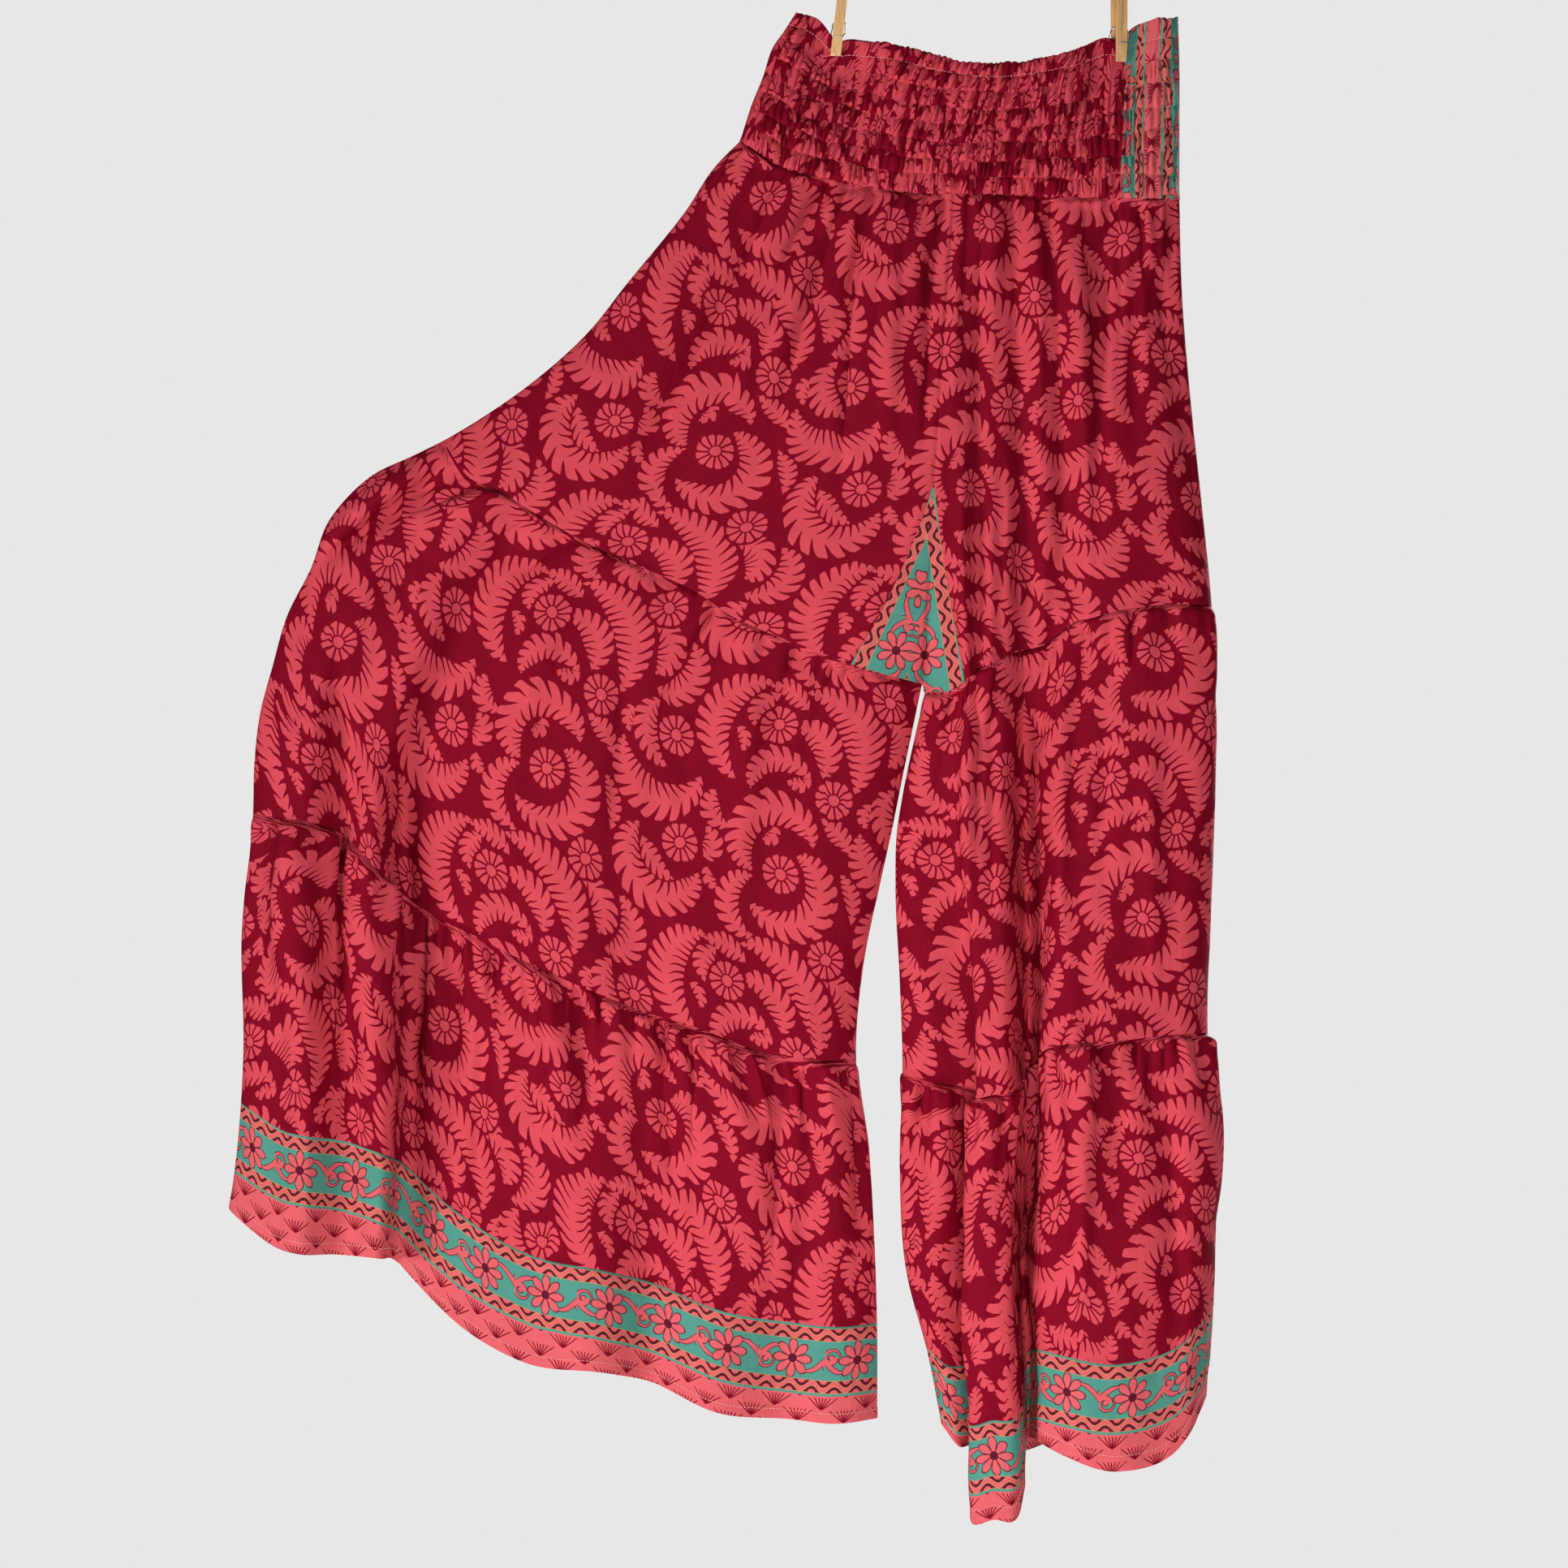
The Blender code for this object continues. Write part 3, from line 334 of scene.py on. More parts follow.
SPREAD = Leg("spread", SPREAD_OUTER, SPREAD_INNER, SPREAD_FRONT, SPREAD_BACK,
             GUSSET_LEFT, (0.0, 0.93))
HANGING = Leg("hanging", HANGING_INNER, HANGING_OUTER, HANGING_FRONT, HANGING_BACK,
              GUSSET_RIGHT, (0.15, 1.0))


def spline(knots, values, at):
    """A smooth curve through the values at the knots, read at other places (Hermite cubics)."""
    knots = np.asarray(knots, float)
    values = np.asarray(values, float)
    slopes = np.gradient(values, knots, axis=0)
    at = np.clip(np.asarray(at, float), knots[0], knots[-1])
    i = np.clip(np.searchsorted(knots, at, side="right") - 1, 0, len(knots) - 2)
    shape = at.shape + (1,) * (values.ndim - 1)
    step = (knots[i + 1] - knots[i]).reshape(shape)
    t = (at - knots[i]).reshape(shape) / step
    return (
        (2 * t**3 - 3 * t**2 + 1) * values[i]
        + (t**3 - 2 * t**2 + t) * step * slopes[i]
        + (3 * t**2 - 2 * t**3) * values[i + 1]
        + (t**3 - t**2) * step * slopes[i + 1]
    )


def along(points, at):
    """Points at shares of the length of a smooth curve through the given ones."""
    points = np.asarray(points, float)
    lengths = np.linalg.norm(np.diff(points, axis=0), axis=1)
    knots = np.concatenate([[0], np.cumsum(lengths)]) / lengths.sum()
    return spline(knots, points, at)


def ease(value, low, high):
    """0 below low, 1 above high and smooth in between."""
    t = np.clip((value - low) / (high - low), 0, 1)
    return t * t * (3 - 2 * t)


def bump(value, centre, width):
    """A soft hump of height 1."""
    return np.exp(-(((value - centre) / width) ** 2))


def rounded(share):
    """How the cloth turns from its side edges: 0 at both, then a quarter round to 1."""
    near = np.clip(np.minimum(share, 1 - share) / EDGE_ROUND, 0, 1)
    return np.sqrt(1 - (1 - near) ** 2)


def edge(places, down):
    """Points of a side edge."""
    return spline([p.down for p in places], [(p.x, p.y, p.z) for p in places], down)


def fitted(route, down, start, end, since=0.0):
    """A route down the garment, moved so that it starts and ends at the given points.

    The move towards the end begins at since, so that two routes can share what is above it.
    """
    first, last = route(np.zeros(1))[0], route(np.ones(1))[0]
    share = np.clip((down - since) / (1 - since), 0, 1)[:, None]
    return route(down) + (1 - down[:, None]) * (start - first) + share * (end - last)


def patch(top, foot, left, right, s, t, fade=1):
    """A patch between four curves that meet at their ends, as rows of t and columns of s.

    top and foot are functions of s, left and right are points at t. The bends of the foot
    fade upwards with t to the power of fade.
    """
    ends = np.array([0.0, 1.0])
    top_ends, foot_ends = top(ends), foot(ends)
    top_row, foot_row = top(s), foot(s)
    s, t = s[None, :, None], t[:, None, None]
    straight = (1 - s) * foot_ends[0] + s * foot_ends[1]
    corners = (1 - t) * ((1 - s) * top_ends[0] + s * top_ends[1]) + t * straight
    low = t * straight + t**fade * (foot_row - straight)
    return (1 - t) * top_row + low + (1 - s) * left[:, None] + s * right[:, None] - corners


def stand_out(points, side, out, share):
    """Moves the points of one side out from the middle plane, rounding towards its side edges."""
    points[..., 1] += side * out * rounded(share)
    return points


def gripped(x):
    """1 between the jaws of a peg, 0 far from both pegs."""
    return sum(1 - ease(np.abs(x - p.x), GRIP_FLAT, GRIP_REACH) for p in PEGS)


def peg_turn(x):
    """How far the cloth lies to the back where a turned peg twists it."""
    return sum(tan(radians(p.turn)) * (x - p.x) * bump(x, p.x, GRIP_TURN_REACH) for p in PEGS)


def band_surface(side, share, fall):
    """The waistband: a patch in its outline, pinched flat between the jaws of both pegs."""
    last = len(BAND_TOP) - 1
    lift = BACK_LIFT if side > 0 else 0.0
    brim = [(x, z + lift * sin(pi * i / last)) for i, (x, z) in enumerate(BAND_TOP)]

    def curve(outline, at):
        return along([(x, 0, z) for x, z in outline], at)

    points = patch(lambda at: curve(brim, at), lambda at: curve(BAND_FOOT, at),
                   curve(BAND_OUTER, fall), curve(BAND_INNER, fall), share, fall)
    x = points[..., 0].copy()
    fall = fall[:, None]
    held = gripped(x)
    shut = sum(bump(x, end[0], BAND_SIDE_REACH) for end in (BAND_FOOT[0], BAND_FOOT[-1]))
    top_out = BAND_HALF_DEPTH * (1 - 0.5 * shut) * (1 - held) + GRIPPED_OUT * held
    loose = ease(fall, 0.2, 1.0)
    points = stand_out(points, side, top_out * (1 - loose) + BAND_FOOT_OUT * loose, share[None])
    points[..., 1] += peg_turn(x) * (1 - ease(fall, 0.3, 0.9))
    dip = sum(bump(x, p.x, GRIP_DIP_REACH) for p in PEGS)
    points[..., 2] -= GRIP_DIP * dip * (1 - ease(fall, 0, 0.25))
    return points


def leg_surface(leg, side, share, down):
    """One side of a leg below seam one: its fold lines, drawn between its two side edges."""
    table = leg.front if side < 0 else leg.back
    knots = [f.share for f in table]
    values = np.array([(f.across, f.out, f.drop) for f in table], float)
    by_level = spline([1, 2, 3], values.transpose(2, 0, 1), down)
    across, out, drop = spline(knots, by_level.transpose(1, 0, 2), share).transpose(2, 1, 0)
    start, end = edge(leg.first, down)[:, None], edge(leg.last, down)[:, None]
    points = start + (end - start) * across[..., None]
    points[..., 2] -= drop
    return stand_out(points, side, out, share[None])


def seam_edge(leg, side, down):
    """The centre seam from the waistband to the gusset, then the gusset's slanted edge."""
    upper = edge(CENTRE, np.minimum(down, APEX))
    lower = edge(leg.gusset, np.maximum(down, APEX))
    points = np.where((down < APEX)[:, None], upper, lower)
    points[:, 1] *= side
    return points


def centre_share():
    """Where the centre seam meets the waistband's foot, as a share of the foot."""
    shares = np.linspace(0, 1, 400)
    return float(np.interp(CENTRE[0].x, along(BAND_FOOT, shares)[:, 0], shares))


def hip_surface(leg, side, s, down):
    """The first tier of one leg, between the waistband's foot, seam one and the centre seam."""
    spread = leg is SPREAD
    middle = centre_share()
    band_low, band_high = (0, middle) if spread else (middle, 1)
    low, high = leg.hip_shares

    def band_share(at):
        return band_low + (band_high - band_low) * (at**HIP_SLANT if spread else at)

    def top(at):
        return band_surface(side, band_share(at), np.ones(1))[0]

    def foot(at):
        return leg_surface(leg, side, low + (high - low) * at, np.ones(1))[0]

    def outer(at):
        return edge(leg.first if spread else leg.last, at)

    def centre(at):
        return seam_edge(leg, side, at)

    ends = np.array([0.0, 1.0])
    starts, stops = top(ends), foot(ends)
    left = fitted(outer if spread else centre, down, starts[0], stops[0], 0 if spread else APEX)
    right = fitted(centre if spread else outer, down, starts[1], stops[1], APEX if spread else 0)
    points = patch(top, foot, left, right, s, down, fade=2)
    swell = HIP_SWELL * np.sin(pi * np.clip(down, 0, 1))[:, None]
    points[..., 1] += side * swell * rounded(band_share(s))[None]
    return points


def add_gathers(points, side, gathers, share, below):
    """Adds the waves under a seam: a cosine across the cloth that swells and then fades."""
    swell = ease(below, 0, 0.08) * (1 - ease(below, 0.15, gathers.reach))
    uneven = 0.22 * np.sin(2 * pi * (1.7 * share + gathers.shift))
    wave = 0.5 + 0.5 * np.cos(2 * pi * (gathers.count * share + gathers.shift + uneven))
    window = ease(np.minimum(share, 1 - share), 0.03, 0.10)
    points[..., 1] += side * gathers.out * swell[:, None] * (wave * window)[None]


def off_edges(share, reach=0.05):
    """A window that is 0 at both side edges and 1 farther in than reach."""
    return ease(np.minimum(share, 1 - share), 0.0, reach)[None]


def add_creases(points, creases, window, fades):
    """Adds creases: each a rounded ridge along its line, or a trough where out is below 0.

    fades are the shares of its line between which it rises, and between which it sinks.
    """
    x, z = points[..., 0].copy(), points[..., 2].copy()
    for c in creases:
        run, fall = c.x_end - c.x_top, c.z_end - c.z_top
        length = np.hypot(run, fall)
        t = ((x - c.x_top) * run + (z - c.z_top) * fall) / length**2
        away = ((x - c.x_top) * fall - (z - c.z_top) * run) / length
        fade = ease(t, *fades[:2]) * (1 - ease(t, *fades[2:]))
        points[..., 1] -= window * c.out * fade * bump(away, 0, c.width)


def add_flap(points, share):
    """Laps the cloth over itself along the flap's line: a lip above it, a hollow below it."""
    run, fall = FLAP_END[0] - FLAP_TOP[0], FLAP_END[1] - FLAP_TOP[1]
    length = np.hypot(run, fall)
    x, z = points[..., 0] - FLAP_TOP[0], points[..., 2] - FLAP_TOP[1]
    t = (x * run + z * fall) / length**2
    below = (z * run - x * fall) / length
    fade = ease(t, -0.1, 0.25) * (1 - ease(t, 0.75, 1.05)) * ease(share, 0.0, 0.03)[None]
    lip = bump(below, -0.9 * FLAP_WIDTH, FLAP_WIDTH)
    hollow = bump(below, 0.6 * FLAP_WIDTH, 0.9 * FLAP_WIDTH)
    lap = FLAP_LAP * fade * bump(below, -0.2 * FLAP_WIDTH, 0.7 * FLAP_WIDTH)
    points[..., 1] -= fade * (FLAP_OUT * lip - FLAP_HOLLOW * hollow)
    points[..., 0] -= lap * fall / length
    points[..., 2] += lap * run / length


class Ridges(NamedTuple):
    """Uneven gathers below a seam: pitch apart, out proud at most, fading within reach."""

    pitch: float
    out: float
    reach: float
    seed: int


class Cloth(NamedTuple):
    """A worked-out panel: its points, outward directions and place in the cloth, in mm."""

    points: np.ndarray
    out: np.ndarray
    place: np.ndarray


def noise(u, v, size, seed):
    """Smooth value noise from -1 to 1: random values on a square lattice, eased between."""
    lattice = np.random.default_rng(seed).uniform(-1, 1, (LATTICE, LATTICE))
    u, v = np.broadcast_arrays(u / size, v / size)
    i, j = np.floor(u).astype(int), np.floor(v).astype(int)
    s, t = u - i, v - j
    s, t = s * s * (3 - 2 * s), t * t * (3 - 2 * t)
    i, j, after_i, after_j = i % LATTICE, j % LATTICE, (i + 1) % LATTICE, (j + 1) % LATTICE
    a, b = lattice[i, j], lattice[after_i, j]
    c, d = lattice[i, after_j], lattice[after_i, after_j]
    return (a * (1 - s) + b * s) * (1 - t) + (c * (1 - s) + d * s) * t


def lengths(points, axis):
    """Length run along the rows (axis 1) or columns (axis 0) of a grid, from its start."""
    steps = np.linalg.norm(np.diff(points, axis=axis), axis=2)
    run = np.cumsum(steps, axis=axis)
    shape = list(run.shape)
    shape[axis] = 1
    return np.concatenate([np.zeros(shape), run], axis=axis)


def even_shares(row, low, high, step):
    """Shares between low and high at even steps of length along a row, given as a function."""
    dense = np.linspace(low, high, DENSE_COLUMNS)
    run = lengths(row(dense)[None], 1)[0]
    count = max(4, int(np.ceil(run[-1] / step)))
    return np.interp(np.linspace(0, run[-1], count + 1), run, dense)


def even_rows(length, step):
    """Shares of a length: even steps that shrink to a third near its sewn or hemmed ends."""
    at = np.linspace(0, length, DENSE_ROWS)
    near = np.exp(-at / FINE_REACH) + np.exp(-(length - at) / FINE_REACH)
    run = np.concatenate([[0], np.cumsum(1 / (1 - 0.66 * np.minimum(near, 1)))[:-1]])
    count = int(np.ceil(run[-1] * length / DENSE_ROWS / step))
    return np.interp(np.linspace(0, run[-1], count + 1), run, at) / length


def outward(points, side):
    """Unit directions square to a grid, out of the garment."""
    normals = side * np.cross(np.gradient(points, axis=1), np.gradient(points, axis=0))
    return normals / np.maximum(np.linalg.norm(normals, axis=2, keepdims=True), 1e-9)


def laid_out(points, anchor):
    """Each point's place in the flat cloth: length along its row from the anchor column,
    and along its column from the first row."""
    across = lengths(points, 1)
    across -= across[:, anchor:anchor + 1]
    return np.stack([across, lengths(points, 0)], axis=2)


def ridge_heights(run, down, ridges, depth=1.0):
    """Height of uneven gathers at lengths along a seam (run) and below it (down).

    Each gather is a bell across the cloth that widens and leans as it goes down, and nearly
    half of them are narrow troughs instead. It swells out of the seam, fades within its own
    reach, and its depth and place are drawn at random. Widths are shares of the pitch.
    """
    draw = np.random.default_rng(ridges.seed)
    width = run.max() - run.min()
    count = max(2, int(width / ridges.pitch))
    moved = draw.uniform(-GATHER_MOVED, GATHER_MOVED, count)
    centres = run.min() + (np.arange(count) + 0.5 + moved) * width / count
    sizes = draw.uniform(*GATHER_SIZES, count)
    reaches = ridges.reach * draw.uniform(*GATHER_REACHES, count)
    leans = draw.uniform(-GATHER_LEAN, GATHER_LEAN, count)
    troughs = draw.random(count) < TROUGH_SHARE
    swell = ease(down, 0, SWELLED_AT * ridges.pitch)
    total = np.zeros(np.broadcast_shapes(run.shape, down.shape))
    for centre, size, reach, lean, trough in zip(centres, sizes, reaches, leans, troughs):
        height, half_width, power = TROUGH if trough else BELL
        half = half_width * ridges.pitch * (1 + down / WIDENED_AT)
        shape = np.exp(-(np.abs((run - centre - lean * down) / half) ** power))
        total += height * size * shape * (1 - ease(down, FADES_FROM * reach, reach))
    return ridges.out * depth * swell * total


# How the side edges of a leg turn round, as a share of its width
EDGE_ROUND = 0.09

# Where the two kinds of creases rise and sink, as shares of their lines
TENSION_FADES = (-0.1, 0.35, 0.6, 1.1)
FOLD_FADES = (-0.08, 0.3, 0.6, 1.08)

# Grids of the shells: random values each way, rows and columns that are measured, the reach of
# the finer rows beside a seam, the rows of the waistband, and its usual width and height
LATTICE = 64
DENSE_ROWS = 800
DENSE_COLUMNS = 600
FINE_REACH = 12
BAND_ROWS = 104
BAND_SPAN = 330.0
BAND_FALL = 125.0

# Gathers below a seam: how many of them are troughs, and how far down they are twice as wide
TROUGH_SHARE = 0.45
WIDENED_AT = 90
# What is drawn for each gather: its move, as a share of the pitch, its size, its reach and its
# lean; how far down it has swelled and where it begins to fade; the height, half width and power
# of a bell and of a trough
GATHER_MOVED = 0.36
GATHER_SIZES = (0.35, 1.0)
GATHER_REACHES = (0.3, 1.25)
GATHER_LEAN = 0.10
SWELLED_AT = 0.3
FADES_FROM = 0.2
BELL = (1, 0.36, 2)
TROUGH = (-1.1, 0.19, 1.3)

# Relief of the shells, where across a tier its print begins, and how much cloth the waistband
# takes up: its smocked parts are printed with BAND_FULLNESS times their width
UNEVEN = 1.3
TIER_ANCHOR = 0.6
SEAM_SUNK = 0.9
HIP_SEAM_SUNK = 0.3
SEAM_PROUD = 0.5
SEAM_SUNK_REACH = 1.6
GUSSET_LEAST = 1.2
GUSSET_LENGTH = 130
GUSSET_WIDTH = 100
GUSSET_UNEVEN = 0.5
PUFF_FINE = 4.6
PINCHED_FINE = 0.34
FRONT_PUCKERS = 62
BACK_PUCKERS = 54
BAND_FULLNESS = 2.3
SIDE_FULLNESS = 1.55
RIB_PITCH = 1.5

# Smocking: how far its rows wander, as a share of the space between two rows; how far its pleats
# wander and how far they jump from space to space, in pleats; how far the print jumps there; and
# how much the band swells, its brim frills, wanders and leans, and its foot is scalloped
ROW_WANDER = 0.16
PLEAT_WANDER = 0.5
PLEAT_JUMP = 0.75
PLEAT_JITTER = 0.08
PRINT_JUMP = 11.0
BAND_SWELL = 0.8
BRIM_FRILL = 1.5
BRIM_WANDER = 1.4
BRIM_LEAN = 0.9
FOOT_SCALLOP = 1.6

# An uneven hand: how much weaker its finer noise is, and the sizes of both in millimetres
FINER_SHARE = 0.45
UNEVEN_SIZES = (34.0, 13.0)

# Least area of a sheet, as a share of its flat rectangle
LEAST_AREA_SHARE = 0.31

# How deep the groove of a peg's leg is rounded, the sides of the sections of wire and thread, how
# far a stitch bows out and its line is sunk, and how far it lies above the cloth
SEAT_DEPTH = 0.45
WIRE_SIDES = 12
STITCH_SIDES = 6
STITCH_BOW = 0.25
STITCH_SUNK = 0.12
STITCH_LIFT = 0.1

# Creases pressed and pulled into the cloth, from the folds of the photographed pair
FRONT_FOLDS = listed(
    Crease,
    (-14, -300, -9, -640, 5, 2.6), (-2, -330, 0, -610, 4, -2.4), (10, -300, 8, -560, 5, 2.2),
    (28, -320, 29, -560, 5, -2.6), (46, -300, 44, -620, 6, 2.6), (103, -412, 101, -455, 4, 3.0),
    (-62, -571, -17, -569, 4, -2.2), (-58, -622, -26, -626, 4, -1.2),
    (-351, -690, -359, -850, 6, -3.0), (-206, -700, -200, -880, 6, -2.4),
    (-125, -731, -142, -905, 8, 3.4), (-283, -676, -290, -728, 5, -2.6),
    (-226, -696, -223, -745, 5, -3.4), (-160, -420, -172, -640, 11, 2.6),
    (-250, -440, -262, -600, 9, -2.2), (-300, -380, -340, -560, 10, 2.0),
    (120, -480, 126, -690, 9, 2.4), (90, -470, 88, -620, 7, -2.0), (136, -760, 140, -930, 8, -2.6),
    (70, -740, 72, -900, 6, 2.4), (30, -640, 38, -930, 8, -6.5), (31, -430, 34, -720, 8, -6.0),
    (10, -450, 8, -640, 5, -2.8), (54, -440, 58, -700, 9, 4.0), (64, -640, 72, -900, 9, 3.2),
    (-412, -500, -402, -840, 7, -5.0), (-456, -400, -462, -800, 9, -4.5),
    (-434, -480, -430, -820, 9, 2.8), (-84, -125, -100, -330, 5, -2.6),
    (-61, -122, -66, -300, 6, 2.4), (-37, -120, -36, -330, 5, -2.8), (-16, -120, -18, -290, 6, 2.2),
    (2, -120, -2, -400, 5, -3.0), (28, -125, 30, -420, 6, -3.0), (43, -122, 44, -330, 5, 2.4),
    (56, -125, 60, -400, 5, -3.0), (72, -125, 74, -340, 6, 2.6), (88, -130, 84, -390, 5, -2.8),
    (112, -125, 110, -300, 6, -2.2), (-152, -140, -255, -330, 9, -2.8),
    (-128, -130, -205, -330, 10, 2.8), (-105, -125, -150, -300, 7, -2.4),
)
BACK_FOLDS = listed(
    Crease,
    (-30, -330, -36, -620, 8, 2.6), (24, -300, 20, -560, 7, -2.8), (70, -330, 78, -640, 10, 3.0),
    (118, -420, 124, -700, 9, -2.6), (-120, -380, -150, -640, 11, 3.0),
    (-210, -420, -240, -640, 9, -2.6), (-320, -380, -380, -560, 10, 2.8),
    (-430, -560, -440, -780, 9, -3.0), (-330, -700, -345, -860, 8, 3.0),
    (-190, -720, -196, -900, 8, -3.0), (60, -740, 66, -930, 9, 2.6),
    (130, -760, 128, -930, 7, -2.4),
)
HIP_RIDGES = {
    "spread": [Ridges(8.0, 2.8, 70.0, 3), Ridges(16.0, 4.0, 200.0, 4), Ridges(36.0, 4.6, 330.0, 15)],
    "hanging": [Ridges(8.0, 2.8, 70.0, 5), Ridges(16.0, 3.8, 200.0, 6), Ridges(34.0, 4.4, 330.0, 16)],
}
TIER_RIDGES = {
    ("spread", 1): [Ridges(10.0, 2.6, 46.0, 7), Ridges(24.0, 4.0, 190.0, 8)],
    ("hanging", 1): [Ridges(10.0, 2.4, 46.0, 9), Ridges(22.0, 3.8, 180.0, 10)],
    ("spread", 2): [Ridges(9.0, 3.4, 62.0, 11), Ridges(22.0, 7.2, 190.0, 12)],
    ("hanging", 2): [Ridges(9.0, 4.0, 60.0, 13), Ridges(21.0, 6.4, 180.0, 14)],
}


def leg_columns(leg, side, step):
    """Shares across a leg, the same ones for each of its tiers so that their seams meet."""
    low, high = leg.hip_shares
    shares = even_shares(lambda at: leg_surface(leg, side, at, np.array([2.0]))[0], 0, 1, step)
    for fixed in (low, high):
        shares[np.argmin(np.abs(shares - fixed))] = fixed
    return shares


def rows_between(points_at, low, high, step):
    """Places down a panel at even steps of its length, finer beside its seams."""
    dense = np.linspace(low, high, 60)
    length = float(lengths(points_at(dense), 0)[-1].mean())
    return low + (high - low) * even_rows(length, step)


def finish_cloth(points, side, ridges, depth, seed, seams, anchor, sunk=SEAM_SUNK):
    """Adds what the folds leave out: fine gathers, an uneven hand and the sunk seam lines.

    seams says whether the panel is sewn at its top, its foot and its anchor column. All of
    it moves the cloth along its own outward direction.
    """
    out = outward(points, side)
    across = lengths(points, 1)
    across -= across[:, anchor:anchor + 1]
    down = lengths(points, 0)
    large, fine = [noise(across, down, size, seed + i) for i, size in enumerate(UNEVEN_SIZES)]
    height = UNEVEN * (large + FINER_SHARE * fine)
    if seams[0]:
        run = np.repeat(across[:1], len(points), axis=0)
        for each in ridges:
            height = height + ridge_heights(run, down, each, depth)
        height = height * ease(down, 0, 2.5) - sunk * bump(down, 0, SEAM_SUNK_REACH)
    if seams[1]:
        left = down[-1:] - down
        height = height * ease(left, 0, 4.0) + SEAM_PROUD * bump(left, 0, 2 * SEAM_SUNK_REACH)
    near = [np.abs(across - across[:, :1]), np.abs(across[:, -1:] - across)]
    height = height * ease(np.minimum(*near), 0, 10.0)
    if seams[2]:
        from_seam = near[0] if anchor == 0 else near[1]
        height = height + 0.9 * ease(from_seam, 0, 2.5) * (1 - ease(from_seam, 3, 12))
    return points + height[..., None] * out


def panel_seed(leg, side):
    """What sets the random draws of one panel off from those of the others of its tier."""
    return (3 if side > 0 else 0) + (40 if leg is HANGING else 0)


def tier_cloth(leg, side, level, start, end, step, depths):
    """One tier or border of one side of a leg. depths are those of its gathers and creases."""
    share = leg_columns(leg, side, step)

    def plain(down):
        points = leg_surface(leg, side, share, down)
        add_gathers(points, side, MIDDLE_GATHERS if level == 1 else LOWER_GATHERS, share, down - level)
        if side < 0:
            add_creases(points, CREASES, off_edges(share), TENSION_FADES)
            if leg is SPREAD and level == 1:
                add_flap(points, share)
        return points

    points = plain(rows_between(plain, level + start, level + end, 2.0 * step))
    folds = FRONT_FOLDS if side < 0 else BACK_FOLDS
    add_creases(points, folds, off_edges(share) * depths[1], FOLD_FADES)
    anchor = int(np.argmin(np.abs(share - TIER_ANCHOR)))
    ridges = TIER_RIDGES[leg.name, level] if start == 0 else []
    seed = 11 * level + panel_seed(leg, side) + int(9 * start)
    seams = (True, end < 1 or level < 2, False)
    points = finish_cloth(points, side, ridges, depths[0], seed, seams, anchor)
    return Cloth(points, outward(points, side), laid_out(points, anchor))


def hip_cloth(leg, side, step, depths):
    """The front or back of the first tier of one leg. depths are as in tier_cloth."""
    share = leg_columns(leg, side, step)
    low, high = leg.hip_shares
    share = share[(share > low - 1e-6) & (share < high + 1e-6)]
    s = (share - low) / (high - low)

    def plain(down):
        points = hip_surface(leg, side, s, down)
        add_gathers(points, side, HIP_GATHERS, share, down)
        if side < 0:
            add_creases(points, CREASES, off_edges(share), TENSION_FADES)
        return points

    points = plain(rows_between(plain, 0.0, 1.0, 1.9 * step))
    folds = FRONT_FOLDS if side < 0 else BACK_FOLDS
    add_creases(points, folds, off_edges(s, 0.06) * depths[1], FOLD_FADES)
    anchor = len(s) - 1 if leg is SPREAD else 0
    points = finish_cloth(points, side, HIP_RIDGES[leg.name], depths[0], 5 + panel_seed(leg, side),
                          (True, True, True), anchor, HIP_SEAM_SUNK)
    return Cloth(points, outward(points, side), laid_out(points, anchor))


def gusset_cloth(side, step):
    """The gusset: a patch below the end of the centre seam that dips between the two legs.

    A point's place in the cloth is measured from the nearer of the two slanted edges: along
    it, and square to it, so that the border follows both edges and meets on the fold.
    """
    t = np.linspace(0.02, 1, int(GUSSET_LENGTH / step))
    down = APEX + (1 - APEX) * t
    left = hip_surface(SPREAD, side, np.array([1.0]), down)[:, 0]
    right = hip_surface(HANGING, side, np.array([0.0]), down)[:, 0]
    shares = [np.linspace(leg.hip_shares[i], i, 24) for leg, i in ((SPREAD, 1), (HANGING, 0))]
    foot = [leg_surface(SPREAD, side, shares[0], np.ones(1))[0],
            leg_surface(HANGING, side, shares[1][::-1], np.ones(1))[0]]
    foot = np.concatenate(foot)
    steps = np.linalg.norm(np.diff(foot[:, [0, 2]], axis=0), axis=1)
    knots = np.concatenate([[0], np.cumsum(steps)]) / steps.sum()
    keep = np.concatenate([[True], np.diff(knots) > 1e-6])
    knots, foot = knots[keep], foot[keep]
    s = np.linspace(0, 1, int(GUSSET_WIDTH / step) + 1)
    points = patch(lambda at: (1 - at)[:, None] * left[:1] + at[:, None] * right[:1],
                   lambda at: spline(knots, foot, at), left, right, s, (t - t[0]) / (1 - t[0]), fade=2)
    points[..., 1] = side * np.maximum(side * points[..., 1], GUSSET_LEAST)
    uneven = GUSSET_UNEVEN * noise(points[..., 0], points[..., 2], 16.0, 71)[..., None]
    points += uneven * outward(points, side) * (ease(s, 0, 0.15) * (1 - ease(s, 0.85, 1)))[None, :, None]
    places = []
    for line in (left, right):
        along_it = (line[-1] - line[0])[[0, 2]]
        along_it = along_it / np.linalg.norm(along_it)
        off = points[..., [0, 2]] - line[0][[0, 2]]
        places.append((off @ along_it, np.abs(off @ (along_it[1], -along_it[0]))))
    nearer = places[0][1] < places[1][1]
    place = np.stack([np.where(nearer, *both) for both in zip(*places)], axis=2)
    return Cloth(points, outward(points, side), place)


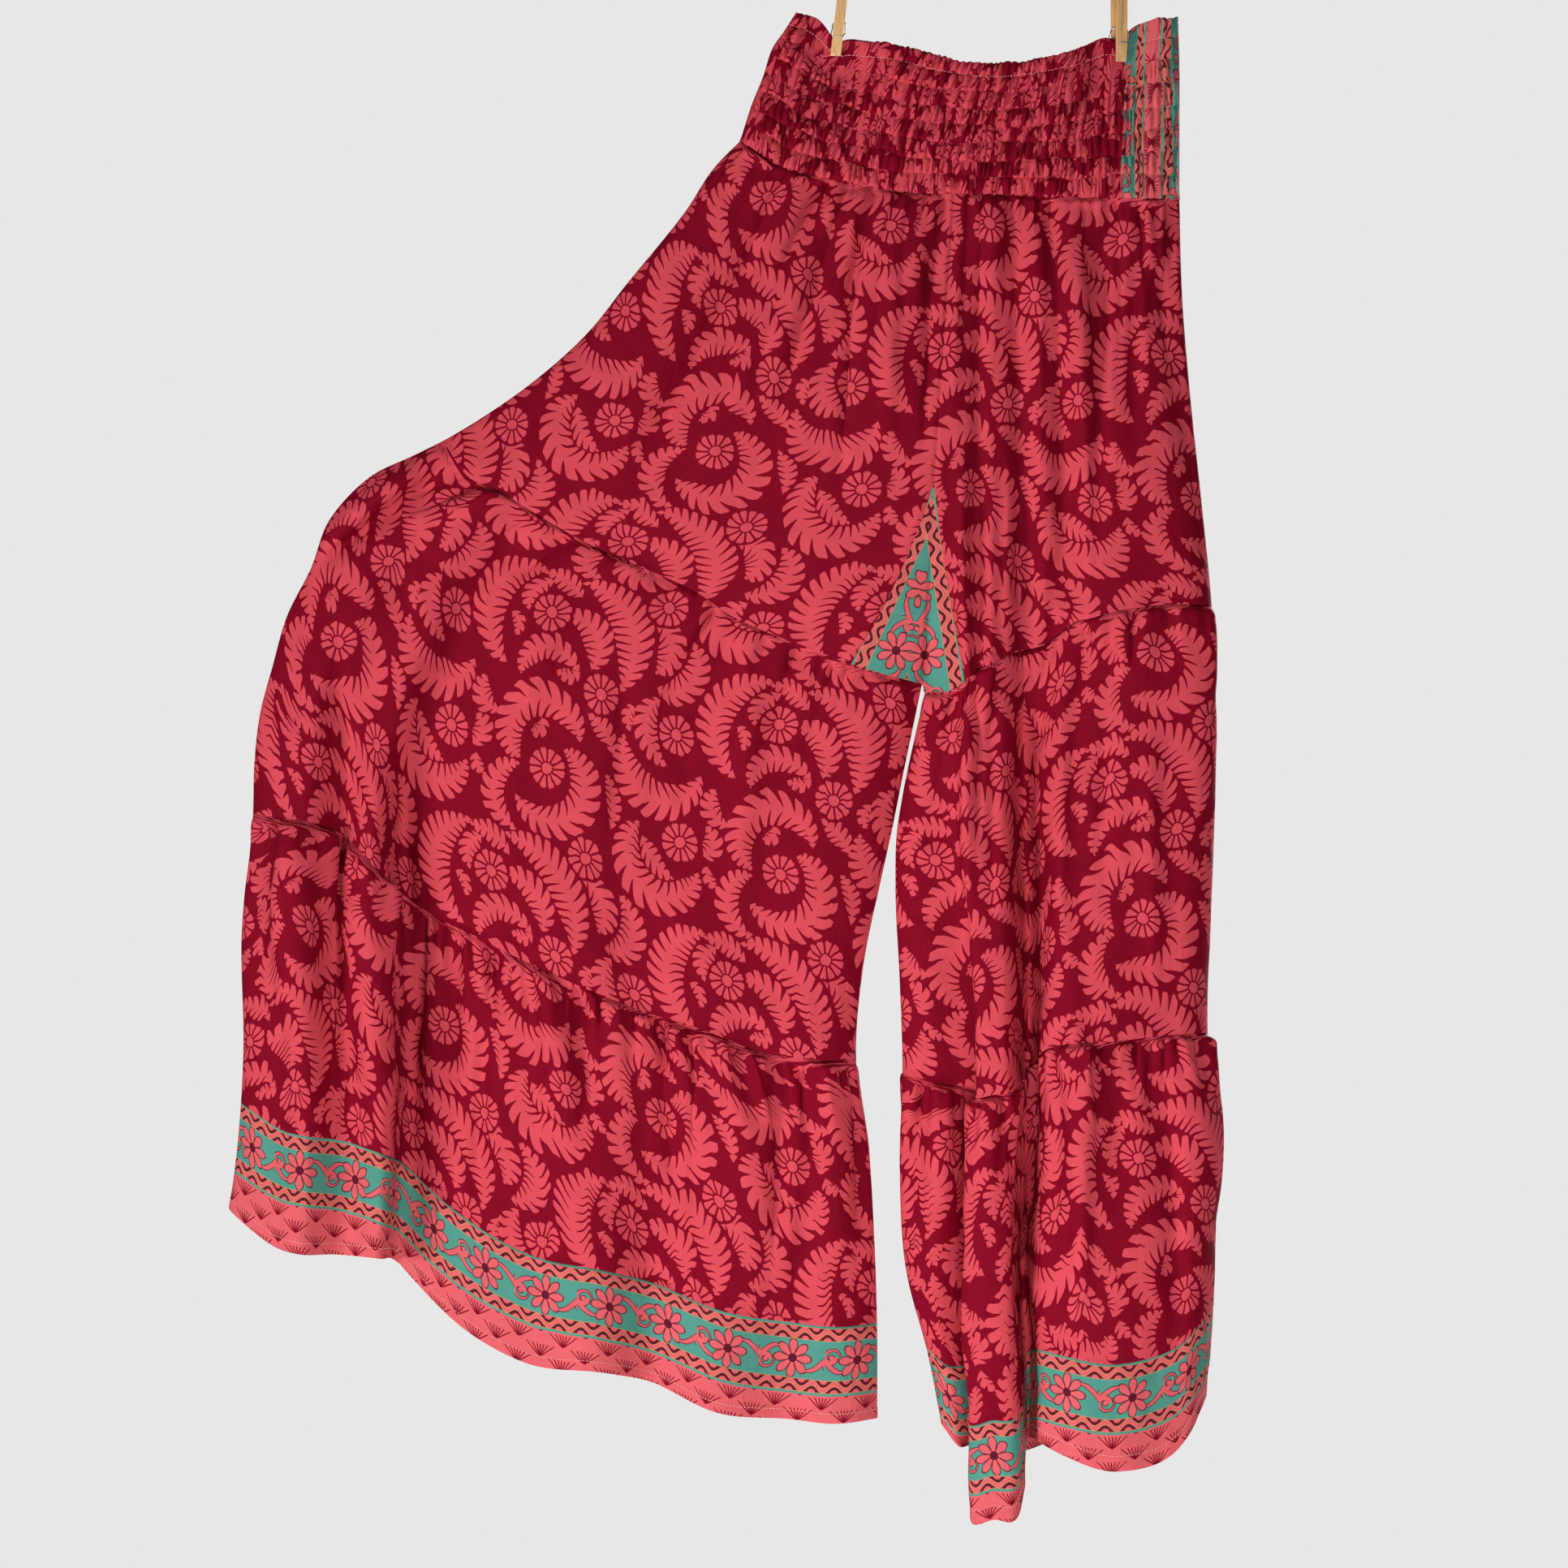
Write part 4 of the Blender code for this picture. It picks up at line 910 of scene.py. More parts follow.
def band_cloth(side, low, high, pleats, step, fullness):
    """A stretch of the smocked waistband, its pleats raised from the plain band.

    Height above the plain band: PUFF_FINE * puffed * pleat * size, where pleat is a bell-shaped
    wave across the band. Its phase wanders, and is drawn anew in each space between two rows
    of shirring; puffed is 1 midway between two rows and PINCHED_FINE at a row. A crest shows
    the cloth in its true scale and a trough hides the rest: its place across the cloth is
    run + (fullness - 1) pitch (whole phase + (1 + (2 f - 1)^5) / 2), with f the part of it.
    """
    share = np.linspace(low, high, int((high - low) * BAND_SPAN / step) + 1)
    rows = np.linspace(0, 1, BAND_ROWS + 1)
    points = band_surface(side, share, rows)
    out = outward(points, side)
    across, fall = np.broadcast_arrays(share[None], rows[:, None])
    run = across * BAND_SPAN
    spaces = np.clip((fall - CASING_SHARE) / (1 - CASING_SHARE), 0, 1) * SHIRRING_SPACES
    spaces = np.clip(spaces + ROW_WANDER * noise(run, spaces * 40, 21.0, 37 + side), 0, SHIRRING_SPACES)
    in_casing = fall < CASING_SHARE
    row = np.where(in_casing, -1, np.floor(np.minimum(spaces, SHIRRING_SPACES - 0.001)))
    phase = pleats * across + PLEAT_WANDER * noise(run, fall * BAND_FALL, 26.0, 21 + side)
    phase = phase + PLEAT_JUMP * noise(run, row * 37.0, 8.5, 25 + side)
    phase = phase + PLEAT_JITTER * noise(run, fall * BAND_FALL, 5.0, 27)
    part = phase - np.floor(phase)
    pleat = np.sin(pi * part) ** 0.9
    size = 0.62 + 0.5 * noise(run, row * 53.0 + fall * 9, 5.5, 29 + side)
    puffed = np.where(in_casing, np.sin(pi * np.minimum(fall / CASING_SHARE, 1)) ** 0.6,
                      np.abs(np.sin(pi * spaces)) ** 0.5)
    height = PINCHED_FINE + (1 - PINCHED_FINE) * puffed
    held = gripped(points[..., 0]) * (1 - ease(fall, 0.22, 0.45))
    clear = 1 - 0.92 * ease(held, 0.35, 0.98)
    ends = ease(np.minimum(across, 1 - across), 0.0, 0.02)
    lift = PUFF_FINE * height * pleat * size * clear * ends
    swell = BAND_SWELL * puffed * ends * clear
    seam = ease(1 - fall, 0, 0.03)
    proud = SEAM_PROUD * bump(BAND_FALL * (1 - fall), 0, 2 * SEAM_SUNK_REACH)
    points = points + ((lift + swell) * seam + proud)[..., None] * out
    brim = bump(fall, 0, 0.05) * clear * ends
    points[..., 2] += brim * BRIM_FRILL * (pleat - 0.5) * size
    points[..., 2] += brim * BRIM_WANDER * noise(run, fall, 13.0, 33 + side)
    points[..., 1] += brim * BRIM_LEAN * np.sin(2 * pi * phase) * size
    points[..., 2] -= FOOT_SCALLOP * bump(1 - fall, 0, 0.06) * ends * (pleat * size - 0.3)
    arc = lengths(band_surface(side, share, np.array([0.5])), 1)[0]
    hidden = (fullness - 1) * BAND_SPAN / pleats
    u = arc[None] + hidden * (np.floor(phase) + 0.5 + 0.5 * (2 * part - 1) ** 5)
    v = lengths(points, 0) + PRINT_JUMP * noise(run, row * 31.0, 9.0, 35 + side)
    return Cloth(points, outward(points, side), np.stack([u, v], axis=2))


def checked_mesh(name, vertices, faces, smooth_angle=60.0):
    """A mesh from points in millimetres, whose closed surface has to face outwards."""
    mesh = bpy.data.meshes.new(name)
    mesh.from_pydata((np.asarray(vertices, float) * MM).tolist(), [], faces)
    if mesh.validate():
        raise RuntimeError(f"{name}: the mesh had faces that can't be used")
    points = np.empty(len(mesh.vertices) * 3)
    mesh.vertices.foreach_get("co", points)
    mesh.calc_loop_triangles()
    corners = np.empty(len(mesh.loop_triangles) * 3, int)
    mesh.loop_triangles.foreach_get("vertices", corners)
    a, b, c = points.reshape(-1, 3)[corners.reshape(-1, 3)].transpose(1, 0, 2)
    if np.einsum("ij,ij->", a, np.cross(b, c)) <= 0:
        raise RuntimeError(f"{name}: the faces point inwards")
    mesh.polygons.foreach_set("use_smooth", np.ones(len(mesh.polygons), bool))
    mesh.set_sharp_from_angle(angle=radians(smooth_angle))
    return mesh


def show(name, mesh, material, slot=None, replaces=()):
    """Puts a piece in the scene on the garment's one body, in place of the nodes it stands for."""
    piece = bpy.data.objects.new(name, mesh)
    bpy.context.scene.collection.objects.link(piece)
    piece.data.materials.append(material)
    if replaces:
        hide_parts(*replaces)
    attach(piece, "root")
    return piece


def grid_faces(rows, columns, side, reverse=False):
    """Quads of a grid of points, facing the side's outward way, or inward where reversed."""
    index = np.arange(rows * columns).reshape(rows, columns)
    a, b, c, d = index[:-1, :-1], index[:-1, 1:], index[1:, 1:], index[1:, :-1]
    order = (a, b, c, d) if (side > 0) != reverse else (a, d, c, b)
    return np.stack(order, axis=2).reshape(-1, 4)


def shell_mesh(name, cloth, side, thick):
    """A closed thin shell on a panel: its face, the same grid thick behind it along the
    outward directions, and a rim. Its UV map is the place in the flat cloth, in metres."""
    points, out, place = cloth
    rows, columns = points.shape[:2]
    count = rows * columns
    index = np.arange(count).reshape(rows, columns)
    ring = np.concatenate([index[0, :-1], index[:-1, -1], index[-1, :0:-1], index[:0:-1, 0]])
    if side < 0:
        ring = ring[::-1]
    after = np.roll(ring, -1)
    rim = np.stack([after, ring, ring + count, after + count], axis=1)
    faces = np.concatenate([
        grid_faces(rows, columns, side),
        grid_faces(rows, columns, side, reverse=True) + count,
        rim,
    ])
    inner = points - np.broadcast_to(thick, (rows, columns))[..., None] * out
    vertices = np.concatenate([points.reshape(-1, 3), inner.reshape(-1, 3)])
    mesh = checked_mesh(name, vertices, faces.tolist())
    corner = np.empty(len(mesh.loops), int)
    mesh.loops.foreach_get("vertex_index", corner)
    uv = np.tile(place.reshape(-1, 2), (2, 1))[corner] * MM
    layer = mesh.uv_layers.new(name="cloth")
    layer.data.foreach_set("uv", uv.ravel())
    return mesh


def flat_area(place):
    """Area of a panel in the flat cloth, in square millimetres."""
    across, down = np.gradient(place, axis=1), np.gradient(place, axis=0)
    return float(np.abs(across[..., 0] * down[..., 1] - across[..., 1] * down[..., 0])[1:, 1:].sum())


def cloth_piece(node, cloth, side, thick, material, slot, fullness=(1.0, 1.0)):
    """Shows a panel in place of its CAD node, as a sheet hung in the garment.

    fullness is how much wider and longer the cloth is than what it was gathered into.
    """
    name = node + "_cloth"
    piece = show(name, shell_mesh(name, cloth, side, thick), material, slot, [node])
    width, length = np.ptp(cloth.place.reshape(-1, 2), axis=0) * MM / fullness
    area = min(flat_area(cloth.place) * MM**2 / (fullness[0] * fullness[1]), width * length)
    max(area, LEAST_AREA_SHARE * width * length)
    return piece


def print_offset(name):
    """Where in the print a piece was cut, the same each time, in millimetres."""
    seed = sum(ord(letter) * (i + 3) for i, letter in enumerate(name))
    return np.random.default_rng(seed).uniform(0, REPEAT[1], 2)


def placed(peg, points):
    """Points of a peg, given from the end of its jaws, put where the peg hangs."""
    x, y, z = np.asarray(points, float).T
    turn = radians(peg.turn)
    across = x * cos(turn) - y * sin(turn) + peg.lean * z / PEG_LENGTH
    depth = x * sin(turn) + y * cos(turn)
    return np.stack([peg.x + across, depth, peg.z + z], axis=1)


def peg_leg_mesh(peg, side, name):
    """One wooden leg: a wedge with a jaw below, a groove for the arm and a handle above.

    Its outline, outward from the middle of the peg and upward from the jaws, runs once round
    and is drawn out by PEG_WIDTH, a little rounder than flat where a thumb rests.
    """
    straight = COIL_HEIGHT + LEG_STRAIGHT_ABOVE
    groove = LEG_OUTSIDE - GROOVE_DEPTH
    dip = np.linspace(pi, 0, 7)
    seat = [(groove + SEAT_DEPTH * (1 - sin(a)), ARM_HEIGHT - GROOVE_HALF * cos(a)) for a in dip[::-1]]
    profile = [
        (JAW_FACE, 0.0),
        (JAW_FACE, straight),
        (HANDLE_GAP, PEG_LENGTH - 0.6),
        (HANDLE_GAP + 0.5, PEG_LENGTH),
        (HANDLE_GAP + HANDLE_END - 0.7, PEG_LENGTH),
        (HANDLE_GAP + HANDLE_END, PEG_LENGTH - 0.7),
        (LEG_OUTSIDE, straight),
        (LEG_OUTSIDE, ARM_HEIGHT + 2 * GROOVE_HALF),
        *seat,
        (LEG_OUTSIDE, ARM_HEIGHT - 2 * GROOVE_HALF),
        (JAW_FACE + JAW_TIP + JAW_SLOPE, 2.2 * JAW_SLOPE),
        (JAW_FACE + JAW_TIP, 0.0),
    ]
    count = len(profile)
    points = []
    for x in (-PEG_WIDTH / 2, PEG_WIDTH / 2):
        points += [(x, side * out, z) for out, z in profile]
    low, high = tuple(range(count)), tuple(range(count, 2 * count))
    walls = [(i, count + i, count + (i + 1) % count, (i + 1) % count) for i in range(count)]
    faces = [low, high[::-1], *walls] if side > 0 else [low[::-1], high, *[w[::-1] for w in walls]]
    return checked_mesh(name, placed(peg, points), faces, 30.0)


def tube_faces(rings, sides):
    """The quads between rings of points, and the two rings that close the ends."""
    index = np.arange(rings * sides).reshape(rings, sides)
    after = np.roll(index, -1, axis=1)
    walls = np.stack([index[:-1], after[:-1], after[1:], index[1:]], axis=2).reshape(-1, 4)
    return walls, index[0][::-1], index[-1]


def spring_mesh(peg, name):
    """The wire spring: a coil between the legs and an arm round the outside of each.

    Coil: x = half * (turns / all turns * 2 - 1), y = -r sin(turn), z = height + r cos(turn);
    the arms follow it through smooth curves, and a round section is swept along the whole.
    """
    turns = np.linspace(0, 2 * pi * COIL_TURNS, COIL_TURNS * 24 + 1)
    half = PEG_WIDTH / 2 - COIL_INSET
    coil = np.stack([
        -half + 2 * half * turns / turns[-1],
        -COIL_RADIUS * np.sin(turns),
        COIL_HEIGHT + COIL_RADIUS * np.cos(turns),
    ], axis=1)
    beside = PEG_WIDTH / 2 + SPRING_WIRE / 2 + WIRE_CLEAR
    outside = LEG_OUTSIDE - GROOVE_DEPTH + SPRING_WIRE / 2 + WIRE_CLEAR
    top = COIL_HEIGHT + COIL_RADIUS
    bends = [
        (0.4 * beside, outside, ARM_HEIGHT),
        (-0.1 * beside, outside, ARM_HEIGHT),
        (-0.7 * beside, outside, ARM_HEIGHT),
        (-beside, outside - 0.3, ARM_HEIGHT + 1.6),
        (-beside, outside - 1.2, top - 2.0),
        (-beside, COIL_RADIUS, top + 0.1),
        tuple(coil[0]),
    ]
    arm = along(bends, np.linspace(0, 1, 40))[:-1]
    path = placed(peg, np.concatenate([arm, coil, arm[::-1] * (-1, -1, 1)]))
    tangents = np.gradient(path, axis=0)
    tangents /= np.linalg.norm(tangents, axis=1, keepdims=True)
    normal, normals = np.array([0.0, 0.0, 1.0]), []
    for tangent in tangents:
        normal = normal - tangent * np.dot(normal, tangent)
        normal /= np.linalg.norm(normal)
        normals.append(normal)
    normals = np.array(normals)
    others = np.cross(tangents, normals)
    angles = 2 * pi * np.arange(WIRE_SIDES) / WIRE_SIDES
    rings = path[:, None] + SPRING_WIRE / 2 * (
        np.cos(angles)[None, :, None] * normals[:, None] + np.sin(angles)[None, :, None] * others[:, None])
    walls, first, last = tube_faces(len(path), WIRE_SIDES)
    faces = [tuple(first), tuple(last), *walls.tolist()]
    return checked_mesh(name, rings.reshape(-1, 3), faces, 50.0)


def stitch_mesh(name, starts, ends, out, thick):
    """A row of thread stitches: each a capsule between two points, sunk at both ends.

    A stitch has rings at shares s of its length, of radius thick / 2 (1 - |2s - 1|^4), and its
    line bows outward by STITCH_BOW at the middle.
    """
    stations = np.array([0.0, 0.12, 0.5, 0.88, 1.0])
    radius = thick / 2 * np.maximum(1 - np.abs(2 * stations - 1) ** 4, 0.35)
    bow = STITCH_BOW * (1 - (2 * stations - 1) ** 2) - STITCH_SUNK
    run = ends - starts
    along_it = run / np.maximum(np.linalg.norm(run, axis=1, keepdims=True), 1e-9)
    aside = np.cross(out, along_it)
    aside /= np.maximum(np.linalg.norm(aside, axis=1, keepdims=True), 1e-9)
    up = np.cross(along_it, aside)
    middles = starts[:, None] + run[:, None] * stations[None, :, None] + bow[None, :, None] * out[:, None]
    angles = 2 * pi * np.arange(STITCH_SIDES) / STITCH_SIDES
    rings = middles[:, :, None] + radius[None, :, None, None] * (
        np.cos(angles)[None, None, :, None] * aside[:, None, None]
        + np.sin(angles)[None, None, :, None] * up[:, None, None])
    walls, first, last = tube_faces(len(stations), STITCH_SIDES)
    offsets = np.arange(len(starts))[:, None] * len(stations) * STITCH_SIDES
    faces = (walls + offsets[..., None]).reshape(-1, 4).tolist()
    faces += (first + offsets).tolist()
    faces += (last + offsets).tolist()
    return checked_mesh(name, rings.reshape(-1, 3), faces, 80.0)


def stitches_along(points, out, pitch, length, lift):
    """Starts and ends of stitches of a length, at a pitch along a line of points."""
    run = lengths(points[None], 1)[0]
    marks = np.arange(pitch, run[-1] - pitch, pitch)

    def at(where):
        return np.stack([np.interp(where, run, points[:, k]) for k in range(3)], axis=1)

    directions = np.stack([np.interp(marks, run, out[:, k]) for k in range(3)], axis=1)
    directions /= np.linalg.norm(directions, axis=1, keepdims=True)
    return at(marks) + lift * directions, at(marks + length) + lift * directions, directions


class Frond(NamedTuple):
    """A curled frond of the print: an arc about a centre, with fingers down both sides.

    radius is the arc's, which grows by growth from base to tip, middle the direction of its
    middle in degrees, sweep how far it turns, width its half width outside the arc, inner
    how much narrower it is inside, and pitch the step from finger to finger.
    """

    x: float
    y: float
    radius: float
    middle: float
    sweep: float
    width: float
    inner: float
    pitch: float
    growth: float


class FrondKind(NamedTuple):
    """A size of frond: how many there are, and the limits of its length, sweep and width."""

    count: int
    length: tuple
    sweep: tuple
    width: tuple
    pitch: float


# The print's repeat: its size, the flowers and the fronds that curl round them
REPEAT = (185.0, 190.0)
FLOWERS = [(57.0, 10.0), (172.0, 50.0), (40.0, 87.0), (102.0, 85.0), (15.0, 152.0), (123.0, 156.0)]
FLOWER_ROOM = 15.0
FINGER_SLANT = 0.4
FINGER_DEPTH = 0.86
FROND_KINDS = [
    FrondKind(6, (70, 104), (120, 225), (12.5, 14.5), 6.4),
    FrondKind(6, (44, 64), (90, 185), (9.6, 11.6), 5.9),
    FrondKind(7, (24, 37), (40, 150), (6.6, 8.3), 5.2),
    FrondKind(5, (13, 21), (50, 150), (4.6, 5.6), 4.8),
]
FROND_TRIES = 500
FROND_GAP = 1.1
OVERLAP_COST = 5.0
LAYOUT_STEP = 3.0
LAYOUT_SEED = 6


def off_centre(value, centre, size):
    """Distance from a centre in a print that repeats every size."""
    return (value - centre + size / 2) % size - size / 2


def in_frond(x, y, frond, gap=0.0):
    """Whether places lie inside a frond's outline, widened by gap (see frond_reach)."""
    x, y = off_centre(x, frond.x, REPEAT[0]), off_centre(y, frond.y, REPEAT[1])
    turn = off_centre(np.arctan2(y, x), radians(frond.middle), 2 * pi)
    e = np.tan(turn / 2) / tan(radians(frond.sweep) / 4)
    v = np.hypot(x, y) - frond.radius - frond.growth * e / 2
    v = np.maximum(v, -frond.inner * v)
    return (v < frond.width * (1 - e * e) + gap) & (np.abs(e) < 1.06)


def drawn_frond(draw, kind):
    """A frond of one kind, drawn at random: its place, turn, length, sweep and width."""
    sweep = draw.uniform(*kind.sweep)
    x, y = draw.uniform(0, REPEAT[0]), draw.uniform(0, REPEAT[1])
    radius = draw.uniform(*kind.length) / radians(sweep)
    growth = draw.uniform(-0.3, 0.3) * radius
    return Frond(x, y, radius, draw.uniform(-180, 180), sweep * draw.choice([-1, 1]),
                 draw.uniform(*kind.width), draw.uniform(1.0, 1.2), kind.pitch, growth)


def laid_out_fronds():
    """Fills the repeat round its flowers, the large fronds first: each is the best of many
    drawn ones, which covers the most ground and overlaps the least."""
    draw = np.random.default_rng(LAYOUT_SEED)
    x, y = np.meshgrid(np.arange(0, REPEAT[0], LAYOUT_STEP), np.arange(0, REPEAT[1], LAYOUT_STEP))
    taken = np.zeros(x.shape, bool)
    for flower in FLOWERS:
        away = np.hypot(off_centre(x, flower[0], REPEAT[0]), off_centre(y, flower[1], REPEAT[1]))
        taken |= away < FLOWER_ROOM
    fronds = []
    for kind in FROND_KINDS:
        for _ in range(kind.count):
            tries = [drawn_frond(draw, kind) for _ in range(FROND_TRIES)]
            covers = [in_frond(x, y, each) for each in tries]
            scores = [cover.sum() - OVERLAP_COST * (cover & taken).sum() for cover in covers]
            fronds.append(tries[int(np.argmax(scores))])
            taken |= in_frond(x, y, fronds[-1], FROND_GAP)
    return fronds


# The two nodes that work with numbers and vectors
NUMBER, VECTOR = "ShaderNodeMath", "ShaderNodeVectorMath"

# How wide the soft edge of a printed shape is, in millimetres
SOFT_EDGE = 0.35

# The print's flower
FLOWER_PETALS = 12
FLOWER_RADIUS = 13.9
FLOWER_CORE = 3.9
FLOWER_CLEAR = 15.6
PETAL_GAP = 0.75

# The border, down from its top edge: the middle and half height of its teal band, how far off
# the middle the vine stripes are, and half their height with and without their plain rims
TEAL_MIDDLE = 25.05
TEAL_HALF = 25.05
STRIPE_OFF = 18.6
STRIPE_HALF = 4.7
STRIPE_BARE_HALF = 4.25
STRIPE_SWING = 2.5
STRIPE_PITCH = 16.5
DAISY_HALF_PITCH = 24.0
DAISY_PETALS = 8
DAISY_CORE = 3.2
# Where the round ends of the petals begin, and half their width there
DAISY_STRAIGHT = 8.7
DAISY_HALF_PETAL = 2.6
MOTIF_OUTLINE = 0.65
FANS_FROM = 51.4
FAN_ROW = 9.0
FAN_HALF_PITCH = 17.0
FAN_HALF_ANGLE = 1.02
SPIKE_HALF_ANGLE = 0.145


class Value:
    """A number or vector that a material works out at each point. Plain arithmetic between
    values and constants adds a node for each step."""

    def __init__(self, tree, socket, math=NUMBER):
        self.tree, self.socket, self.math = tree, socket, math

    def __add__(self, other):
        return worked("ADD", self, other)

    def __sub__(self, other):
        return worked("SUBTRACT", self, other)

    def __rsub__(self, other):
        return worked("SUBTRACT", other, self)

    def __mul__(self, other):
        return worked("MULTIPLY", self, other)

    def __truediv__(self, other):
        return worked("DIVIDE", self, other)

    def __abs__(self):
        return worked("ABSOLUTE", self)


def give(tree, socket, given):
    """Links a value to a socket, or sets a constant; None leaves the socket as it is."""
    if isinstance(given, Value):
        tree.links.new(given.socket, socket)
    elif given is not None:
        socket.default_value = given


def add_node(tree, kind, inputs=(), **settings):
    """Adds a node with values or constants for its first inputs."""
    made = tree.nodes.new(kind)
    for key, setting in settings.items():
        setattr(made, key, setting)
    for socket, given in zip(made.inputs, inputs):
        give(tree, socket, given)
    return made


def worked(operation, *inputs, **settings):
    """One step of arithmetic. Between vectors, a constant number stands for all three parts."""
    first = next(each for each in inputs if isinstance(each, Value))
    if first.math == VECTOR:
        inputs = [(each,) * 3 if isinstance(each, float) else each for each in inputs]
    made = add_node(first.tree, first.math, inputs, operation=operation, **settings)
    return Value(first.tree, made.outputs[0], first.math)


def greatest(*values):
    """The greatest of several values, part by part where they are vectors."""
    return reduce(partial(worked, "MAXIMUM"), values)


def least(*values):
    """The least of several values, part by part where they are vectors."""
    return reduce(partial(worked, "MINIMUM"), values)


def wrapped(value, half):
    """A value that starts again from -half each time it passes half."""
    return worked("WRAP", value, half, -half)


def distance(x, y):
    """Distance from the origin of a place given as two numbers."""
    return worked("SQRT", x * x + y * y)


def clamped(value, factor, offset):
    """value * factor + offset, kept between 0 and 1."""
    return worked("MULTIPLY_ADD", value, factor, offset, use_clamp=True)


def step(value):
    """0 where value is well below 0, 1 well above it, with a soft edge between."""
    return clamped(value, 1 / SOFT_EDGE, 0.5)


def parts(vector):
    """The three numbers of a vector."""
    made = add_node(vector.tree, "ShaderNodeSeparateXYZ", [vector])
    return [Value(vector.tree, socket) for socket in made.outputs[:3]]


def tripled(number):
    """A vector with the same number three times."""
    made = add_node(number.tree, "ShaderNodeCombineXYZ", [number] * 3)
    return Value(number.tree, made.outputs[0], VECTOR)


def length_of(vector):
    """The length of a vector."""
    made = add_node(vector.tree, VECTOR, [vector], operation="LENGTH")
    return Value(vector.tree, made.outputs["Value"])


def blend(share, first, second):
    """first where share is 0 and second where it is 1, for colours and vectors."""
    inputs = [share, *[None] * 5, first, second]
    made = add_node(share.tree, "ShaderNodeMix", inputs, data_type="RGBA")
    return Value(share.tree, made.outputs[2], VECTOR)


def shaded(color, share):
    """A colour, or a constant one, times a share."""
    color = color if isinstance(color, Value) else color[:3]
    made = add_node(share.tree, VECTOR, [color, None, None, share], operation="SCALE")
    return Value(share.tree, made.outputs[0], VECTOR)


def clouds(place, scale, detail, rough):
    """Smooth noise from 0 to 1."""
    made = add_node(place.tree, "ShaderNodeTexNoise", [place, None, scale, detail, rough])
    return Value(place.tree, made.outputs[0])


def new_material(name):
    """A material that is laid out by nodes."""
    material = bpy.data.materials.new(name)
    material.use_nodes = True
    return material


def place_in_cloth(material):
    """Where a point lies in the flat cloth, in millimetres: across, down and 0."""
    uv = add_node(material.node_tree, "ShaderNodeUVMap", uv_map="cloth").outputs[0]
    return Value(material.node_tree, uv, VECTOR) * (1000.0, 1000.0, 0.0)


def place_in_object(material):
    """Where a point lies in its object, in metres."""
    made = add_node(material.node_tree, "ShaderNodeTexCoord")
    return Value(material.node_tree, made.outputs["Object"], VECTOR)


def finished(material, color, roughness, height=None, strength=0.0, depth=0.0, **others):
    """Sets a material's surface. height is the relief in its bump, depth how deep that is."""
    tree = material.node_tree
    surface = {"Base_Color": color, "Roughness": roughness, **others}
    if height:
        relief = tree.nodes.new("ShaderNodeBump")
        for name, given in (("Strength", strength), ("Distance", depth), ("Height", height)):
            give(tree, relief.inputs[name], given)
        surface["Normal"] = Value(tree, relief.outputs[0])
    for name, given in surface.items():
        give(tree, tree.nodes["Principled BSDF"].inputs[name.replace("_", " ")], given)
    return material


def around(place, centre):
    """The vector from the nearest repeat of a point of the print."""
    half = (REPEAT[0] / 2, REPEAT[1] / 2, 1.0)
    return worked("WRAP", place - (*centre, 0.0), half, tuple(-each for each in half))


def frond_reach(across, down, fronds):
    """How far inside three fronds a place is, one frond in each part of the vectors.

    x and y are measured from a frond's centre, with x along its middle, and r is the
    distance. e = y / (r + x) / tan(sweep / 4) runs from -1 at the base to 1 at the tip;
    v = r - radius - growth e / 2 is the distance off the spine, and is made larger by inner
    on the inside; w = width (1 - e^2) is the half width; and the fingers are
    w (1 - depth g^4) - v with g = (1 + cos(2 pi (length - slant v) / pitch)) / 2.
    """
    def each(value):
        return tuple(float(value(f)) for f in fronds)

    def times(value, factor, plus):
        return worked("MULTIPLY_ADD", value, factor, plus)

    x = wrapped(across - each(lambda f: f.x), REPEAT[0] / 2)
    y = wrapped(down - each(lambda f: f.y), REPEAT[1] / 2)
    r = worked("POWER", times(x, x, y * y), 0.5)
    ahead = times(x, each(lambda f: cos(radians(f.middle))), r)
    ahead = times(y, each(lambda f: sin(radians(f.middle))), ahead)
    aside = x * each(lambda f: -sin(radians(f.middle)) / tan(radians(f.sweep) / 4))
    aside = times(y, each(lambda f: cos(radians(f.middle)) / tan(radians(f.sweep) / 4)), aside)
    e = aside / ahead
    v = times(e, each(lambda f: -f.growth / 2), r) - each(lambda f: f.radius)
    v = greatest(v, v * each(lambda f: -f.inner))
    w = times(e * e, each(lambda f: -f.width), each(lambda f: f.width))
    turns = each(lambda f: pi * f.radius * abs(radians(f.sweep)) / f.pitch)
    k = times(v, each(lambda f: -2 * pi * FINGER_SLANT / f.pitch), times(e, turns, turns))
    g = times(worked("COSINE", k), 0.5, 0.5)
    g = g * g
    return w * times(g * g, -FINGER_DEPTH, 1.0) - v


def flower_mask(away, angle):
    """The print's flower: a core and petals with a notched edge and gaps between them."""
    p = abs(wrapped(angle * (FLOWER_PETALS / (2 * pi)), 0.5))
    notch = least(p * 8.0, 0.9)
    petal = notch + (FLOWER_RADIUS - 0.8) + p * p * (-0.7 * FLOWER_RADIUS) - away
    beside = (0.5 - p) * away * (2 * pi / FLOWER_PETALS) - PETAL_GAP
    petals = step(least(petal, beside, away - (FLOWER_CORE + 1.1)))
    return greatest(petals, step(FLOWER_CORE - away))


